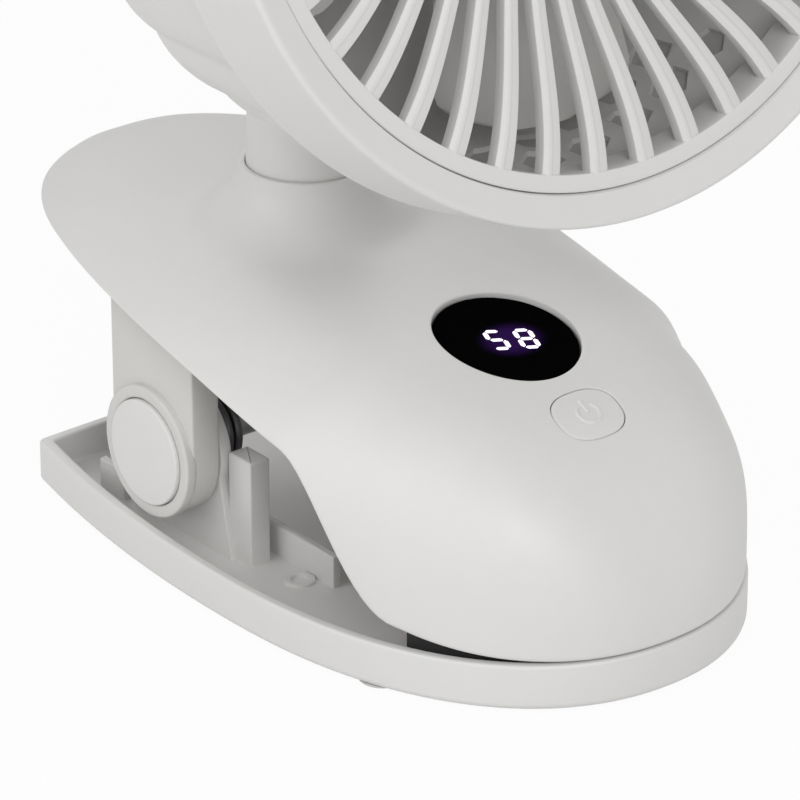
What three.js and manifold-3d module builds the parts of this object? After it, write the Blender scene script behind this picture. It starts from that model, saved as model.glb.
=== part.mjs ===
// A rechargeable clip fan: a round fan head on a swivelling neck, carried by a spring clip.
// Millimetres. +Z is up and the fan blows towards -Y. The feet stand on Z = 0.

import * as THREE from 'three';
import { mergeVertices } from 'three/addons/utils/BufferGeometryUtils.js';
import { ParametricGeometry } from 'three/addons/geometries/ParametricGeometry.js';
import Module from 'manifold-3d';

const wasm = await Module();
wasm.setup();

// ---------------------------------------------------------------- driving dimensions

const clearance = 0.3;          // between pieces that touch or turn in each other

// Plan of both jaws
const widestY = -6.3;           // where both jaws are widest
const noseLengthPower = 2.5;    // how square the rounded nose is, along
const noseWidthPower = 2.15;    // and across

// Lower jaw
const jawHalfWidth = 41.4;
const jawFrontReach = 66.9;
const jawRearReach = 56;
const jawRearHalfWidth = 35.3;
const jawCorner = 3;
const jawRearBulge = 1.6;
const jawUnderside = 1;
const jawFloorTop = 2.8;
const jawRimTop = 8;
const jawWall = 1.9;
const jawEdgeRound = 2.4;

// Feet
const footRadius = 4;
const footX = 32.8;
const footFrontY = -41.8;
const footRearY = 32.6;

// Clip hinge
const pivotY = 14.2;
const pivotZ = 19.8;
const pinRadius = 2.5;
const lugInnerX = 28;
const lugThickness = 2.3;
const lugRadius = 12.2;
const lugFootFront = 19;        // from the pivot to the lug's front toe
const lugFootRear = 17;
const lugWindowWidth = 9;
const lugWindowHeight = 8.5;
const postWidth = 5.2;
const postDepth = 6;
const postFrontY = -2.7;
const postTop = 21.8;
const ribThickness = 1.6;
const lowWallX = 21.7;
const lowWallFrontY = -17;
const lowWallRearY = 1.7;
const rearRibX = 29.5;
const rearRibFrontY = 34.3;
const rearRibRearY = 43.7;

// Torsion springs
const springWire = 0.8;         // radius of the wire
const springCoil = 5.4;         // radius of the coil's centre line
const springInnerX = 22.5;
const springTurns = 2.5;
const springTurnPitch = 1.75;
const springLegRear = 18;       // from the pivot to the end of each leg

// Upper shell
const shellHalfWidth = 41;
const shellFrontReach = 66.6;
const shellRearReach = 79.5;
const tailPower = 2.35;
const shellWall = 1.8;
const lipHeight = 8.5;          // lower edge at the nose
const lipRise = 3.1;            // how far that edge climbs to the notch
const notchFrontY = -47.5;
const notchRearY = -25;
const tailEdgeHeight = 47.4;    // lower edge at the tail
const edgeFall = 9;             // how far the edge has fallen at the widest place
const edgeFallLength = 57.4;
const edgeLevelY = 45;          // where the edge runs level again
const noseTop = 9.5;
const crownTop = 50;
const crownRise = 1;            // how much higher the tail is than the crown at the neck
const crownLengthPower = 3.34;
const crownHeightPower = 2.09;
const sectionPower = 3.6;
const noseFullness = 4.13;      // fullness of the section at the nose
const crownFullness = 0.85;     // and far behind it
const fullnessY = -61.6;
const fullnessLength = 16.7;
const bossRadius = 3;

// Screws
const screwShank = 1.2;
const screwHead = 2.5;
const screwHeadHeight = 1.2;
const screwBite = 2;            // how far a screw reaches into its boss
const screwFrontX = 24;
const screwFrontY = -8;
const screwRearX = 17;
const screwRearY = 27;

// Underside cover
const coverThickness = 1.5;
const coverInset = 3.8;         // from the shell's outline
const coverLift = 2.4;          // how much higher it sits above the front pad
const coverLiftFrontY = -46;
const coverLiftRearY = -36;
const earInnerX = 30.8;
const earThickness = 5.5;
const earRadius = 11;
const flangeThickness = 1.3;
const flangeOverhang = 0.3;
const capRadius = 9;
const capProud = 0.7;

// Jaw pads
const padRearY = -47;
const lowerPadTop = 6.2;
const padInset = 2.6;
const padCreaseDepth = 0.5;

// Neck and its swivel
const neckY = 19.7;
const neckRadius = 10.1;
const neckTopRadius = 9.3;
const collarTop = 60;
const collarLip = 0.8;
const collarFootRadius = 24;
const collarFootZ = 48.6;
const flangeRadius = 12.2;
const flangeZ = 48.8;
const neckFlangeThickness = 2;
const washerThickness = 1.4;
const wireBore = 3.4;

// Tilt hinge
const tiltZ = 102;
const knuckleRadius = 8.5;
const knuckleHalfWidth = 5.5;
const tiltWasher = 0.5;
const clevisThickness = 4.4;
const clevisRadius = 8;
const tiltPinRadius = 2;
const tiltHeadRadius = 4;
const tiltHeadHeight = 2;
const neckShoulderZ = 89;

// Display, button and electronics
const windowY = -32;
const windowSink = 1;
const windowSlope = 10;         // degrees
const windowHalfWidth = 10.95;
const windowHalfLength = 12.75;
const windowThickness = 2.2;
const buttonY = -52.3;
const buttonSlope = 24;         // degrees
const buttonHalfWidth = 6.2;
const buttonHalfLength = 5.3;
const buttonPower = 3;
const buttonThickness = 3.2;
const buttonTab = 1;            // tabs that hold the button under the shell
const boardY = -40;
const boardDepth = 8;           // below the crown
const boardSlope = 14;          // degrees
const boardHalfWidth = 14;
const boardHalfLength = 14.2;
const boardThickness = 1.2;
const boardPostRadius = 2;
const boardPostX = 11;
const displayHeight = 2.5;
const switchHeight = 1;
const cellRadius = 9.2;
const cellLength = 65.2;
const cellY = -24.7;
const cellZ = 23.1;
const troughWall = 1.5;
const usbY = -40;
const usbZ = 30;
const usbWidth = 9;
const usbHeight = 3.2;
const usbDepth = 7.4;

// Fan head, along its own axis from the plane of the grille's seam
const headTilt = 12.6;          // degrees, looking up
const headY = -49.3;
const headZ = 145.5;
const ringRadius = 69;
const ringFront = 1.7;
const ringRear = -15.5;
const ringDraft = 0.3;
const ringFillet = 1.6;
const seamRadius = 63.7;
const ledgeWidth = 1.5;
const ledgeThickness = 1.5;
const ringBore = 66.2;
const grilleOpening = 60.8;
const grilleDepth = 8;
const grilleHubRadius = 20;
const vaneCount = 41;
const vanePhase = 2.2;          // degrees from straight down to the first vane, at the rim
const vaneBow = 0.0139;         // degrees per square millimetre in from the rim
const vaneRimWidth = 3;
const vaneHubWidth = 2;
const coverRimFront = -12.5;
const coverBodyRadius = 66.8;
const coverWaistRadius = 61.2;
const coverWaist = -45;
const coverBack = -61;
const coverBackRadius = 48;
const headWall = 2;
const hexAcross = 6.4;
const hexPitch = 9;
const ventFieldHalfAngle = 40;
const ventFrontRow = -23;
const ventRows = 2;
const backVentInner = 28;
const backVentOuter = 40.5;
const motorRadius = 17;
const motorLength = 22.5;
const shaftRadius = 1.5;
const shaftLength = 27.5;
const impellerFront = -14;
const impellerDepth = 18;
const impellerHubRadius = 15;
const impellerRadius = 57;
const bladeCount = 5;
const bladeRootChord = 20;
const bladeTipChord = 34;
const bladeThickness = 1.6;
const bladeRootPitch = 38;      // degrees
const bladeTipPitch = 22;       // degrees
const motorScrewCircle = 9;

// ---------------------------------------------------------------- materials

function finish(color, roughness, metalness = 0) {
  return new THREE.MeshStandardMaterial({ color, roughness, metalness });
}

const whiteShell = finish(0xdedddb, 0.5);
const whiteInner = finish(0xc9c7c4, 0.55);
const blackGloss = finish(0x08080a, 0.08);
const rubber = finish(0x2c2c2e, 0.85);
const steel = finish(0x8d9095, 0.3, 1);
const darkPlastic = finish(0x202226, 0.5);
const boardGreen = finish(0x1d5a3a, 0.5);
const cellWrap = finish(0x2f6fb0, 0.4);

// ---------------------------------------------------------------- shaping helpers

const { degToRad, lerp, smoothstep } = THREE.MathUtils;
const v2 = (x, y) => new THREE.Vector2(x, y);
const v3 = (x, y, z) => new THREE.Vector3(x, y, z);
const shift = (x, y, z) => new THREE.Matrix4().makeTranslation(x, y, z);
const alongX = new THREE.Matrix4().makeBasis(v3(0, 1, 0), v3(0, 0, 1), v3(1, 0, 0));
const alongZ = new THREE.Matrix4().makeRotationX(Math.PI / 2);

/** A closed geometry as a solid with its faces pointing out. */
function solid(geometry, matrix = new THREE.Matrix4()) {
  const bare = geometry.clone().applyMatrix4(matrix);
  bare.deleteAttribute('normal');
  bare.deleteAttribute('uv');
  const merged = mergeVertices(bare, 1e-4);
  const corners = merged.index.array;
  const kept = [];
  for (let i = 0; i < corners.length; i += 3) {
    const [a, b, c] = corners.slice(i, i + 3);
    if (a !== b && b !== c && c !== a) kept.push(a, b, c);
  }
  const vertProperties = merged.attributes.position.array;
  const made = toManifold(vertProperties, kept);
  return made.volume() > 0 ? made : toManifold(vertProperties, kept.reverse());
}

function toManifold(vertProperties, corners) {
  const triVerts = Uint32Array.from(corners);
  return new wasm.Manifold(new wasm.Mesh({ numProp: 3, vertProperties, triVerts }));
}

/** A named mesh made from a solid. */
function piece(name, body, material) {
  const { vertProperties, triVerts } = body.getMesh();
  const geometry = new THREE.BufferGeometry();
  geometry.setAttribute('position', new THREE.BufferAttribute(vertProperties, 3));
  geometry.setIndex(new THREE.BufferAttribute(triVerts, 1));
  geometry.computeVertexNormals();
  const mesh = new THREE.Mesh(geometry, material);
  mesh.name = name;
  return mesh;
}

const join = (first, ...others) => others.reduce((whole, part) => whole.add(part), first);
const cut = (first, ...others) => others.reduce((whole, part) => whole.subtract(part), first);

function box(x0, x1, y0, y1, z0, z1) {
  const block = new THREE.BoxGeometry(x1 - x0, y1 - y0, z1 - z0);
  return solid(block, shift((x0 + x1) / 2, (y0 + y1) / 2, (z0 + z1) / 2));
}

/** An outline in X and Y, raised from z0 to z1. */
function slab(shape, z0, z1) {
  const raised = new THREE.ExtrudeGeometry(shape, { depth: z1 - z0, bevelEnabled: false });
  return solid(raised, shift(0, 0, z0));
}

/** An outline in Y and Z, drawn out from x0 to x1. */
function slabX(shape, x0, x1) {
  const raised = new THREE.ExtrudeGeometry(shape, { depth: x1 - x0, bevelEnabled: false });
  return solid(raised, shift(x0, 0, 0).multiply(alongX));
}

/** A round bar from z0 to z1 at x, y. */
function rod(radius, z0, z1, x = 0, y = 0, sides = 24) {
  const bar = new THREE.CylinderGeometry(radius, radius, z1 - z0, sides);
  return solid(bar, shift(x, y, (z0 + z1) / 2).multiply(alongZ));
}

/** A round bar along X from x0 to x1 at y, z. */
function rodX(radius, x0, x1, y, z, sides = 24) {
  const bar = new THREE.CylinderGeometry(radius, radius, x1 - x0, sides);
  const lying = new THREE.Matrix4().makeRotationZ(Math.PI / 2);
  return solid(bar, shift((x0 + x1) / 2, y, z).multiply(lying));
}

/** A profile of [radius, z] points turned about Z: it starts and ends on the axis. */
function turned(profile, sides = 32) {
  return solid(new THREE.LatheGeometry(profile.map(([r, z]) => v2(r, z)), sides), alongZ);
}

/** A closed profile of [radius, z] points turned about Z into a ring. */
function turnedRing(profile, sides = 32) {
  return turned([...profile, profile[0]], sides);
}

function polygon(points) {
  return new THREE.Shape(points.map(([x, y]) => v2(x, y)));
}

/** A superellipse outline centred at x = 0, y = 0. */
function superellipse(halfWidth, halfLength, power, steps = 32) {
  const points = [];
  for (let i = 0; i < steps; i += 1) {
    const angle = (2 * Math.PI * i) / steps;
    points.push([
      halfWidth * signedPower(Math.cos(angle), 2 / power),
      halfLength * signedPower(Math.sin(angle), 2 / power),
    ]);
  }
  return polygon(points);
}

const signedPower = (value, power) => Math.sign(value) * Math.abs(value) ** power;

/** Tilts a solid made at the origin back by an angle in degrees and sets it at y, z. */
function tilted(body, degrees, y, z) {
  return body.rotate([degrees, 0, 0]).translate([0, y, z]);
}

// ---------------------------------------------------------------- the shell's own form

/** Height of the shell's lower edge at y. */
function edgeHeight(y) {
  const noseY = widestY - shellFrontReach;
  const climb = Math.min((y - noseY) / (notchFrontY - noseY), 1);
  const lip = lipHeight + lipRise * Math.max(climb, 0) ** 2;
  const back = Math.max(edgeLevelY - y, 0) / edgeFallLength;
  const rear = tailEdgeHeight - edgeFall * back ** 1.5;
  return lerp(lip, rear, smoothstep(y, notchFrontY, notchRearY));
}

/** Height of the shell's top along its middle at y. */
function crownHeight(y) {
  const noseY = widestY - shellFrontReach;
  const tailY = widestY + shellRearReach;
  if (y <= neckY) {
    const back = Math.max(neckY - y, 0) / (neckY - noseY);
    const full = Math.max(1 - back ** crownLengthPower, 0) ** (1 / crownHeightPower);
    return noseTop + (crownTop - noseTop) * full;
  }
  const along = Math.min((y - neckY) / (tailY - neckY), 1);
  const top = crownTop + crownRise * smoothstep(along, 0, 0.6);
  return edgeHeight(y) + (top - edgeHeight(y)) * Math.sqrt(1 - along ** 8);
}

/** A point of the shell's plan outline; angle 0 is +X and it turns towards the tail. */
function shellPlan(angle, inset = 0) {
  const across = Math.cos(angle);
  const along = Math.sin(angle);
  const nose = along < 0;
  const reach = (nose ? shellFrontReach : shellRearReach) - inset;
  const widthPower = nose ? noseWidthPower : tailPower;
  const lengthPower = nose ? noseLengthPower : tailPower;
  const x = (shellHalfWidth - inset) * signedPower(across, 2 / widthPower);
  return [x, widestY + reach * signedPower(along, 2 / lengthPower)];
}

/** Half the shell's width at y. */
function shellWidthAt(y) {
  const nose = y < widestY;
  const reach = nose ? shellFrontReach : shellRearReach;
  const along = Math.min(Math.abs(y - widestY) / reach, 1);
  const lengthPower = nose ? noseLengthPower : tailPower;
  const widthPower = nose ? noseWidthPower : tailPower;
  return shellHalfWidth * (1 - along ** lengthPower) ** (1 / widthPower);
}

/** How full the shell's cross-section is at y. */
function fullnessAt(y) {
  const behind = Math.max(y - fullnessY, 0) / fullnessLength;
  return crownFullness + (noseFullness - crownFullness) * Math.exp(-behind);
}

/** Height of the shell's outer surface at x, y. */
function shellHeight(x, y) {
  const width = shellWidthAt(y);
  const across = width > 0 ? Math.min(Math.abs(x) / width, 1) : 1;
  const share = (1 - across ** sectionPower) ** (1 / fullnessAt(y));
  return edgeHeight(y) + (crownHeight(y) - edgeHeight(y)) * share;
}

/** How far out the shell's outer surface is at y and a height. */
function shellReach(y, z) {
  const share = (z - edgeHeight(y)) / (crownHeight(y) - edgeHeight(y));
  return shellWidthAt(y) * (1 - share ** fullnessAt(y)) ** (1 / sectionPower);
}

/** The space under the shell's surface, set in by a wall and let down by a drop. */
function shellSolid(inset, drop, floorDrop, around, rings) {
  const surface = (u, v, target) => {
    const angle = 2 * Math.PI * u;
    const share = Math.sin(Math.PI * v);
    const [x, y] = shellPlan(angle, inset);
    const here = [x * share, widestY + (y - widestY) * share];
    const [outerX, outerY] = shellPlan(angle);
    const outer = [outerX * share, widestY + (outerY - widestY) * share];
    const top = v <= 0.5;
    const z = top ? shellHeight(...outer) - drop : edgeHeight(here[1]) - floorDrop;
    target.set(here[0], here[1], z);
  };
  return solid(new ParametricGeometry(surface, around, 2 * rings));
}

/** Height of the underside cover's top face at y. */
function coverTopAt(y) {
  return edgeHeight(y) - clearance + coverLift * (1 - smoothstep(y, coverLiftFrontY, coverLiftRearY));
}

/** A plan outline as a shape. */
function shellOutline(inset, steps = 36) {
  const points = [];
  for (let i = 0; i < steps; i += 1) points.push(shellPlan((2 * Math.PI * i) / steps, inset));
  return polygon(points);
}

/** A strip in Y and Z between two heights given at y, from y0 to y1. */
function strip(y0, y1, low, high, steps) {
  const ys = Array.from({ length: steps + 1 }, (_, i) => lerp(y0, y1, i / steps));
  return polygon([...ys.map((y) => [y, low(y)]), ...ys.reverse().map((y) => [y, high(y)])]);
}

// ---------------------------------------------------------------- lower jaw

/** The lower jaw's plan: a rounded nose, sides that draw in and a nearly straight rear. */
function jawOutline(inset) {
  const halfWidth = jawHalfWidth - inset;
  const rearHalfWidth = jawRearHalfWidth - inset;
  const reach = jawFrontReach - inset;
  const rearReach = jawRearReach - inset;
  const sideEnd = rearReach - jawCorner - jawRearBulge;
  const side = [];
  const noseSteps = 16;
  for (let i = 0; i <= noseSteps; i += 1) {
    const angle = ((i / noseSteps) * Math.PI) / 2;
    const x = halfWidth * Math.sin(angle) ** (2 / noseWidthPower);
    side.push([x, widestY - reach * Math.cos(angle) ** (2 / noseLengthPower)]);
  }
  const sideSteps = 5;
  for (let i = 1; i <= sideSteps; i += 1) {
    const along = i / sideSteps;
    side.push([lerp(halfWidth, rearHalfWidth, along ** 2), widestY + sideEnd * along]);
  }
  const cornerSteps = 3;
  for (let i = 1; i <= cornerSteps; i += 1) {
    const angle = ((i / cornerSteps) * Math.PI) / 2;
    const x = rearHalfWidth - jawCorner * (1 - Math.cos(angle));
    side.push([x, widestY + sideEnd + jawCorner * Math.sin(angle)]);
  }
  side.push([rearHalfWidth / 2, widestY + rearReach - jawRearBulge / 4]);
  const other = side.slice(1).reverse().map(([x, y]) => [-x, y]);
  return polygon([...side, [0, widestY + rearReach], ...other]);
}

function jawTray() {
  const rounding = {
    depth: jawRimTop - jawUnderside,
    bevelThickness: jawEdgeRound,
    bevelSize: jawEdgeRound,
    bevelOffset: -jawEdgeRound,
    bevelSegments: 3,
  };
  const body = new THREE.ExtrudeGeometry(jawOutline(0), rounding);
  const outer = solid(body, shift(0, 0, jawUnderside + jawEdgeRound));
  const above = box(-99, 99, -99, 99, jawRimTop, 99);
  return cut(outer, above, slab(jawOutline(jawWall), jawFloorTop, 99));
}

/** An A-shaped side plate that holds the hinge pin. */
function lug(side) {
  const circle = [];
  const steps = 12;
  const lean = 0.15 * Math.PI;
  for (let i = 0; i <= steps; i += 1) {
    const angle = lerp(-lean, Math.PI + lean, i / steps);
    circle.push([pivotY + lugRadius * Math.cos(angle), pivotZ + lugRadius * Math.sin(angle)]);
  }
  const foot = jawFloorTop - 0.5;
  const plate = polygon([
    [pivotY + lugFootRear, foot],
    ...circle,
    [pivotY - lugFootFront, foot],
  ]);
  const half = lugWindowWidth / 2;
  const windowTop = foot + lugWindowHeight;
  const window = polygon([
    [pivotY - half, jawFloorTop],
    [pivotY + half, jawFloorTop],
    [pivotY + half / 2, windowTop],
    [pivotY - half / 2, windowTop],
  ]);
  const [x0, x1] = span(side, lugInnerX, lugInnerX + lugThickness);
  return cut(
    slabX(plate, x0, x1),
    slabX(window, x0 - 1, x1 + 1),
    rodX(pinRadius + clearance, x0 - 1, x1 + 1, pivotY, pivotZ),
  );
}

/** The two x values of a stretch on one side, low one first. */
function span(side, inner, outer) {
  return side > 0 ? [inner, outer] : [-outer, -inner];
}

function lowerJaw() {
  const parts = [];
  const sunk = jawFloorTop - 0.5;
  for (const side of [-1, 1]) {
    const [p0, p1] = span(side, lugInnerX + lugThickness - postWidth, lugInnerX + lugThickness);
    const [w0, w1] = span(side, lowWallX, lowWallX + ribThickness);
    const [r0, r1] = span(side, rearRibX, rearRibX + ribThickness);
    parts.push(
      lug(side),
      box(p0, p1, postFrontY, postFrontY + postDepth, sunk, postTop),
      box(w0, w1, lowWallFrontY, lowWallRearY, sunk, jawRimTop),
      box(r0, r1, rearRibFrontY, rearRibRearY, sunk, jawRimTop),
    );
  }
  return join(jawTray(), ...parts);
}

/** A rubber pad between two heights, as wide as an outline and in front of the notch. */
function jawPad(outline, low, high) {
  const noseY = widestY - jawFrontReach;
  const block = slabX(strip(noseY, padRearY, low, high, 6), -jawHalfWidth, jawHalfWidth);
  return block.intersect(slab(outline, 0, crownTop));
}

function lowerPad() {
  const body = jawPad(jawOutline(jawWall + clearance), () => jawFloorTop, () => lowerPadTop);
  return cut(body, ...padCreases(lowerPadTop - padCreaseDepth, lowerPadTop + 1));
}

function upperPad() {
  const padUnderside = lowerPadTop + clearance;
  const body = jawPad(shellOutline(padInset), () => padUnderside, (y) => padTopAt(y));
  return cut(body, ...padCreases(padUnderside - 1, padUnderside + padCreaseDepth));
}

/** The upper pad reaches up to the cover. */
function padTopAt(y) {
  return coverTopAt(y) - coverThickness - clearance;
}

function padCreases(z0, z1) {
  const creases = [];
  const pitch = 5;
  const width = 1;
  for (let y = padRearY - pitch; y > widestY - shellFrontReach + pitch; y -= pitch) {
    creases.push(box(-jawHalfWidth, jawHalfWidth, y - width, y, z0, z1));
  }
  return creases;
}

/** A torsion spring round the hinge pin, with both legs pointing to the rear. */
function torsionSpring(side) {
  const points = [];
  const legLow = jawFloorTop + clearance + springWire;
  const legHighY = pivotY + springLegRear;
  const legHigh = coverTopAt(legHighY) - coverThickness - clearance - springWire - 0.4;
  const start = -0.5 * Math.PI;
  const stepsPerTurn = 12;
  const steps = springTurns * stepsPerTurn;
  const length = springTurns * springTurnPitch;
  points.push(v3(0, springLegRear, legLow - pivotZ));
  points.push(v3(0, springLegRear / 2, (legLow - pivotZ - springCoil) / 2));
  for (let i = 0; i <= steps; i += 1) {
    const angle = start - (2 * Math.PI * i) / stepsPerTurn;
    points.push(v3((length * i) / steps, springCoil * Math.cos(angle), springCoil * Math.sin(angle)));
  }
  points.push(v3(length, springLegRear / 2, (legHigh - pivotZ + springCoil) / 2));
  points.push(v3(length, springLegRear, legHigh - pivotZ));
  const path = new THREE.CatmullRomCurve3(points);
  const section = superellipse(springWire, springWire, 2, 5);
  const wire = new THREE.ExtrudeGeometry(section, { steps: 46, extrudePath: path });
  const x = side > 0 ? springInnerX : -springInnerX - length;
  return solid(wire, shift(x, pivotY, pivotZ));
}

// ---------------------------------------------------------------- upper body

function collarProfile() {
  const top = v2(neckRadius + clearance + collarLip, collarTop);
  const foot = v2(collarFootRadius, collarFootZ);
  const bend = v2(top.x + 1.4, collarFootZ + 2.6);
  const flare = new THREE.QuadraticBezierCurve(top, bend, foot).getPoints(5);
  return [[0, collarTop], ...flare.map((p) => [p.x, p.y]), [0, collarFootZ]];
}

function topShell() {
  const hull = cut(
    shellSolid(0, 0, 0, 52, 7),
    shellSolid(shellWall, shellWall, 8, 36, 5),
  );
  const collar = turned(collarProfile(), 36).translate([0, neckY, 0]);
  const bosses = coverScrewPlaces().map(([x, y]) => {
    const top = shellHeight(x, y) - shellWall / 2;
    return cut(
      rod(bossRadius, coverTopAt(y + bossRadius) + clearance, top, x, y, 16),
      rod(screwShank + clearance, 0, coverTopAt(y) + screwBite + clearance, x, y, 12),
    );
  });
  const seat = superellipse(windowHalfWidth + clearance, windowHalfLength + clearance, 2);
  const hole = superellipse(
    buttonHalfWidth + clearance, buttonHalfLength + clearance, buttonPower,
  );
  const flangeCeiling = flangeZ + neckFlangeThickness + clearance;
  return cut(
    join(hull, collar, ...bosses),
    rod(neckRadius + clearance, 0, crownTop + collarTop, 0, neckY, 32),
    rod(flangeRadius + clearance, 0, flangeCeiling, 0, neckY, 32),
    onWindow(slab(seat, -2 * windowThickness - shellWall, crownTop / 2)),
    onButton(slab(hole, -2 * buttonThickness, crownTop / 4)),
    usbOpening(),
  );
}

const onWindow = (body) => tilted(body, windowSlope, windowY, crownHeight(windowY) - windowSink);
const onButton = (body) => tilted(body, buttonSlope, buttonY, crownHeight(buttonY));
const onBoard = (body) => tilted(body, boardSlope, boardY, crownHeight(boardY) - boardDepth);

function usbOpening() {
  const halfWidth = usbWidth / 2 + clearance;
  const halfHeight = usbHeight / 2 + clearance;
  return box(usbFaceX() - usbDepth, shellHalfWidth + 1, usbY - halfWidth, usbY + halfWidth,
    usbZ - halfHeight, usbZ + halfHeight);
}

/** Where the charging socket's mouth lies: just inside the shell's outer surface. */
function usbFaceX() {
  return shellReach(usbY, usbZ + usbHeight / 2) - clearance;
}

function coverScrewPlaces() {
  return [
    [-screwFrontX, screwFrontY],
    [screwFrontX, screwFrontY],
    [-screwRearX, screwRearY],
    [screwRearX, screwRearY],
  ];
}

/** A pan-head screw from below through the underside cover. */
function coverScrew([x, y]) {
  const seat = coverTopAt(y - screwHead) - coverThickness - clearance;
  return join(
    rod(screwHead, seat - screwHeadHeight, seat, x, y, 16),
    rod(screwShank, seat - screwHeadHeight / 2, coverTopAt(y) + screwBite, x, y, 12),
  );
}

/** An ear of the underside cover, with the round flange that holds the hinge pin. */
function ear(side) {
  const steps = 14;
  const round = [];
  for (let i = 0; i <= steps; i += 1) {
    const angle = Math.PI * (1 + i / steps);
    round.push([pivotY + earRadius * Math.cos(angle), pivotZ + earRadius * Math.sin(angle)]);
  }
  const topAt = (y) => coverTopAt(y) - coverThickness / 2;
  const plate = polygon([
    [pivotY - earRadius, topAt(pivotY - earRadius)],
    ...round,
    [pivotY + earRadius, topAt(pivotY + earRadius)],
  ]);
  const face = earInnerX + earThickness;
  const [x0, x1] = span(side, earInnerX, face);
  const [f0, f1] = span(side, face - 1, face + flangeThickness);
  const [c0, c1] = span(side, face + clearance, face + flangeThickness + 1);
  const [b0, b1] = span(side, earInnerX - 1, face - 1);
  return cut(
    join(slabX(plate, x0, x1), rodX(earRadius + flangeOverhang, f0, f1, pivotY, pivotZ, 30)),
    rodX(capRadius + clearance, c0, c1, pivotY, pivotZ, 30),
    rodX(pinRadius + clearance, b0, b1, pivotY, pivotZ),
  );
}

function undersideCover() {
  const noseY = widestY - shellFrontReach;
  const tailY = widestY + shellRearReach;
  const sheet = strip(noseY, tailY, (y) => coverTopAt(y) - coverThickness, coverTopAt, 40);
  const plate = slabX(sheet, -shellHalfWidth, shellHalfWidth)
    .intersect(slab(shellOutline(coverInset), 0, crownTop + crownRise));
  const cellHalf = cellLength / 2 + clearance;
  const inner = cellRadius + clearance;
  const outer = inner + troughWall;
  const floorZ = cellZ - inner - troughWall;
  const troughFront = padRearY + clearance;
  const troughRear = cellY + cellHalf + troughWall;
  const side = strip(troughFront, troughRear, () => floorZ, coverTopAt, 12);
  const washerSeat = flangeZ - washerThickness - 2 * clearance;
  const washerBoss = rod(flangeRadius, coverTopAt(neckY) - 1, washerSeat, 0, neckY, 36);
  const body = join(
    plate,
    slabX(side, -outer, outer),
    ear(-1),
    ear(1),
    washerBoss,
    ...boardPosts(),
    usbShelf(),
  );
  const holes = coverScrewPlaces().map(([x, y]) => rod(screwShank + clearance, 0, 99, x, y, 16));
  return cut(
    body,
    box(-inner, inner, cellY - cellHalf, cellY + cellHalf, floorZ + troughWall, crownTop),
    rod(neckRadius - 2, 0, 99, 0, neckY, 36),
    ...holes,
  );
}

/** Four posts that carry the circuit board. */
function boardPosts() {
  const posts = [];
  const slope = Math.tan(degToRad(boardSlope));
  for (const x of [-boardPostX, boardPostX]) {
    for (const y of [boardY - boardHalfLength * 0.75, boardY + boardHalfLength * 0.75]) {
      const under = crownHeight(boardY) - boardDepth - boardThickness + (y - boardY) * slope;
      const outside = Math.sign(x) * (Math.abs(x) + boardPostRadius / 2);
      const top = under - clearance - boardPostRadius * slope;
      posts.push(rod(boardPostRadius, coverTopAt(y) - coverThickness / 2, top, outside, y, 12));
    }
  }
  return posts;
}

/** A small shelf of the cover that carries the charging socket's board. */
function usbShelf() {
  const half = usbWidth / 2;
  const top = usbZ - usbHeight / 2 - boardThickness - 2 * clearance;
  const under = (y) => Math.min(coverTopAt(y) - coverThickness / 2, top - 1);
  const shelf = strip(usbY - half, usbY + half, under, () => top, 6);
  return slabX(shelf, usbFaceX() - usbDepth, usbFaceX() - 2 * shellWall);
}

function usbBoard() {
  const half = usbWidth / 2;
  const top = usbZ - usbHeight / 2 - clearance;
  return box(usbFaceX() - usbDepth - 1, usbFaceX() - 2 * shellWall, usbY - half, usbY + half,
    top - boardThickness, top);
}

function usbSocket() {
  const front = usbFaceX();
  const half = usbWidth / 2;
  const low = usbZ - usbHeight / 2;
  const high = usbZ + usbHeight / 2;
  const wall = 0.5;
  return cut(
    box(front - usbDepth, front, usbY - half, usbY + half, low, high),
    box(front - usbDepth + 1, front + 1, usbY - half + wall, usbY + half - wall,
      low + wall, high - wall),
  );
}

function powerButton() {
  const face = superellipse(buttonHalfWidth, buttonHalfLength, buttonPower);
  const reach = buttonHalfWidth + buttonTab;
  const underside = -buttonThickness - buttonTab;
  return onButton(join(
    slab(face, -buttonThickness - buttonTab / 2, 0),
    box(-reach, reach, -2 * buttonTab, 2 * buttonTab, underside, -buttonThickness),
  ));
}

function circuitBoard() {
  return onBoard(box(-boardHalfWidth, boardHalfWidth, -boardHalfLength, boardHalfLength,
    -boardThickness, 0));
}

function ledDisplay() {
  const y = windowY - boardY;
  const halfWidth = 7;
  const halfLength = 4.5;
  return onBoard(box(-halfWidth, halfWidth, y - halfLength, y + halfLength,
    clearance, clearance + displayHeight));
}

function tactSwitch() {
  const y = buttonY - boardY + 1;
  const half = 2.2;
  return onBoard(join(
    box(-half, half, y - half, y + half, clearance, switchHeight - 0.4),
    rod(half / 2, clearance, switchHeight, 0, y, 12),
  ));
}

function batteryCell() {
  const half = cellLength / 2;
  const shoulder = 1.2;
  const cell = turned([
    [0, -half],
    [cellRadius, -half],
    [cellRadius, half - shoulder],
    [cellRadius / 2, half - shoulder],
    [cellRadius / 2, half],
    [0, half],
  ], 24);
  return cell.rotate([-90, 0, 0]).translate([0, cellY, cellZ]);
}

function pivotCap(side) {
  const face = earInnerX + earThickness;
  const [x0, x1] = span(side, face + 2 * clearance, face + flangeThickness + capProud);
  return rodX(capRadius, x0, x1, pivotY, pivotZ, 30);
}

function hingePin() {
  const half = earInnerX + earThickness - 1 - clearance;
  return rodX(pinRadius, -half, half, pivotY, pivotZ);
}

// ---------------------------------------------------------------- neck

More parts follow.
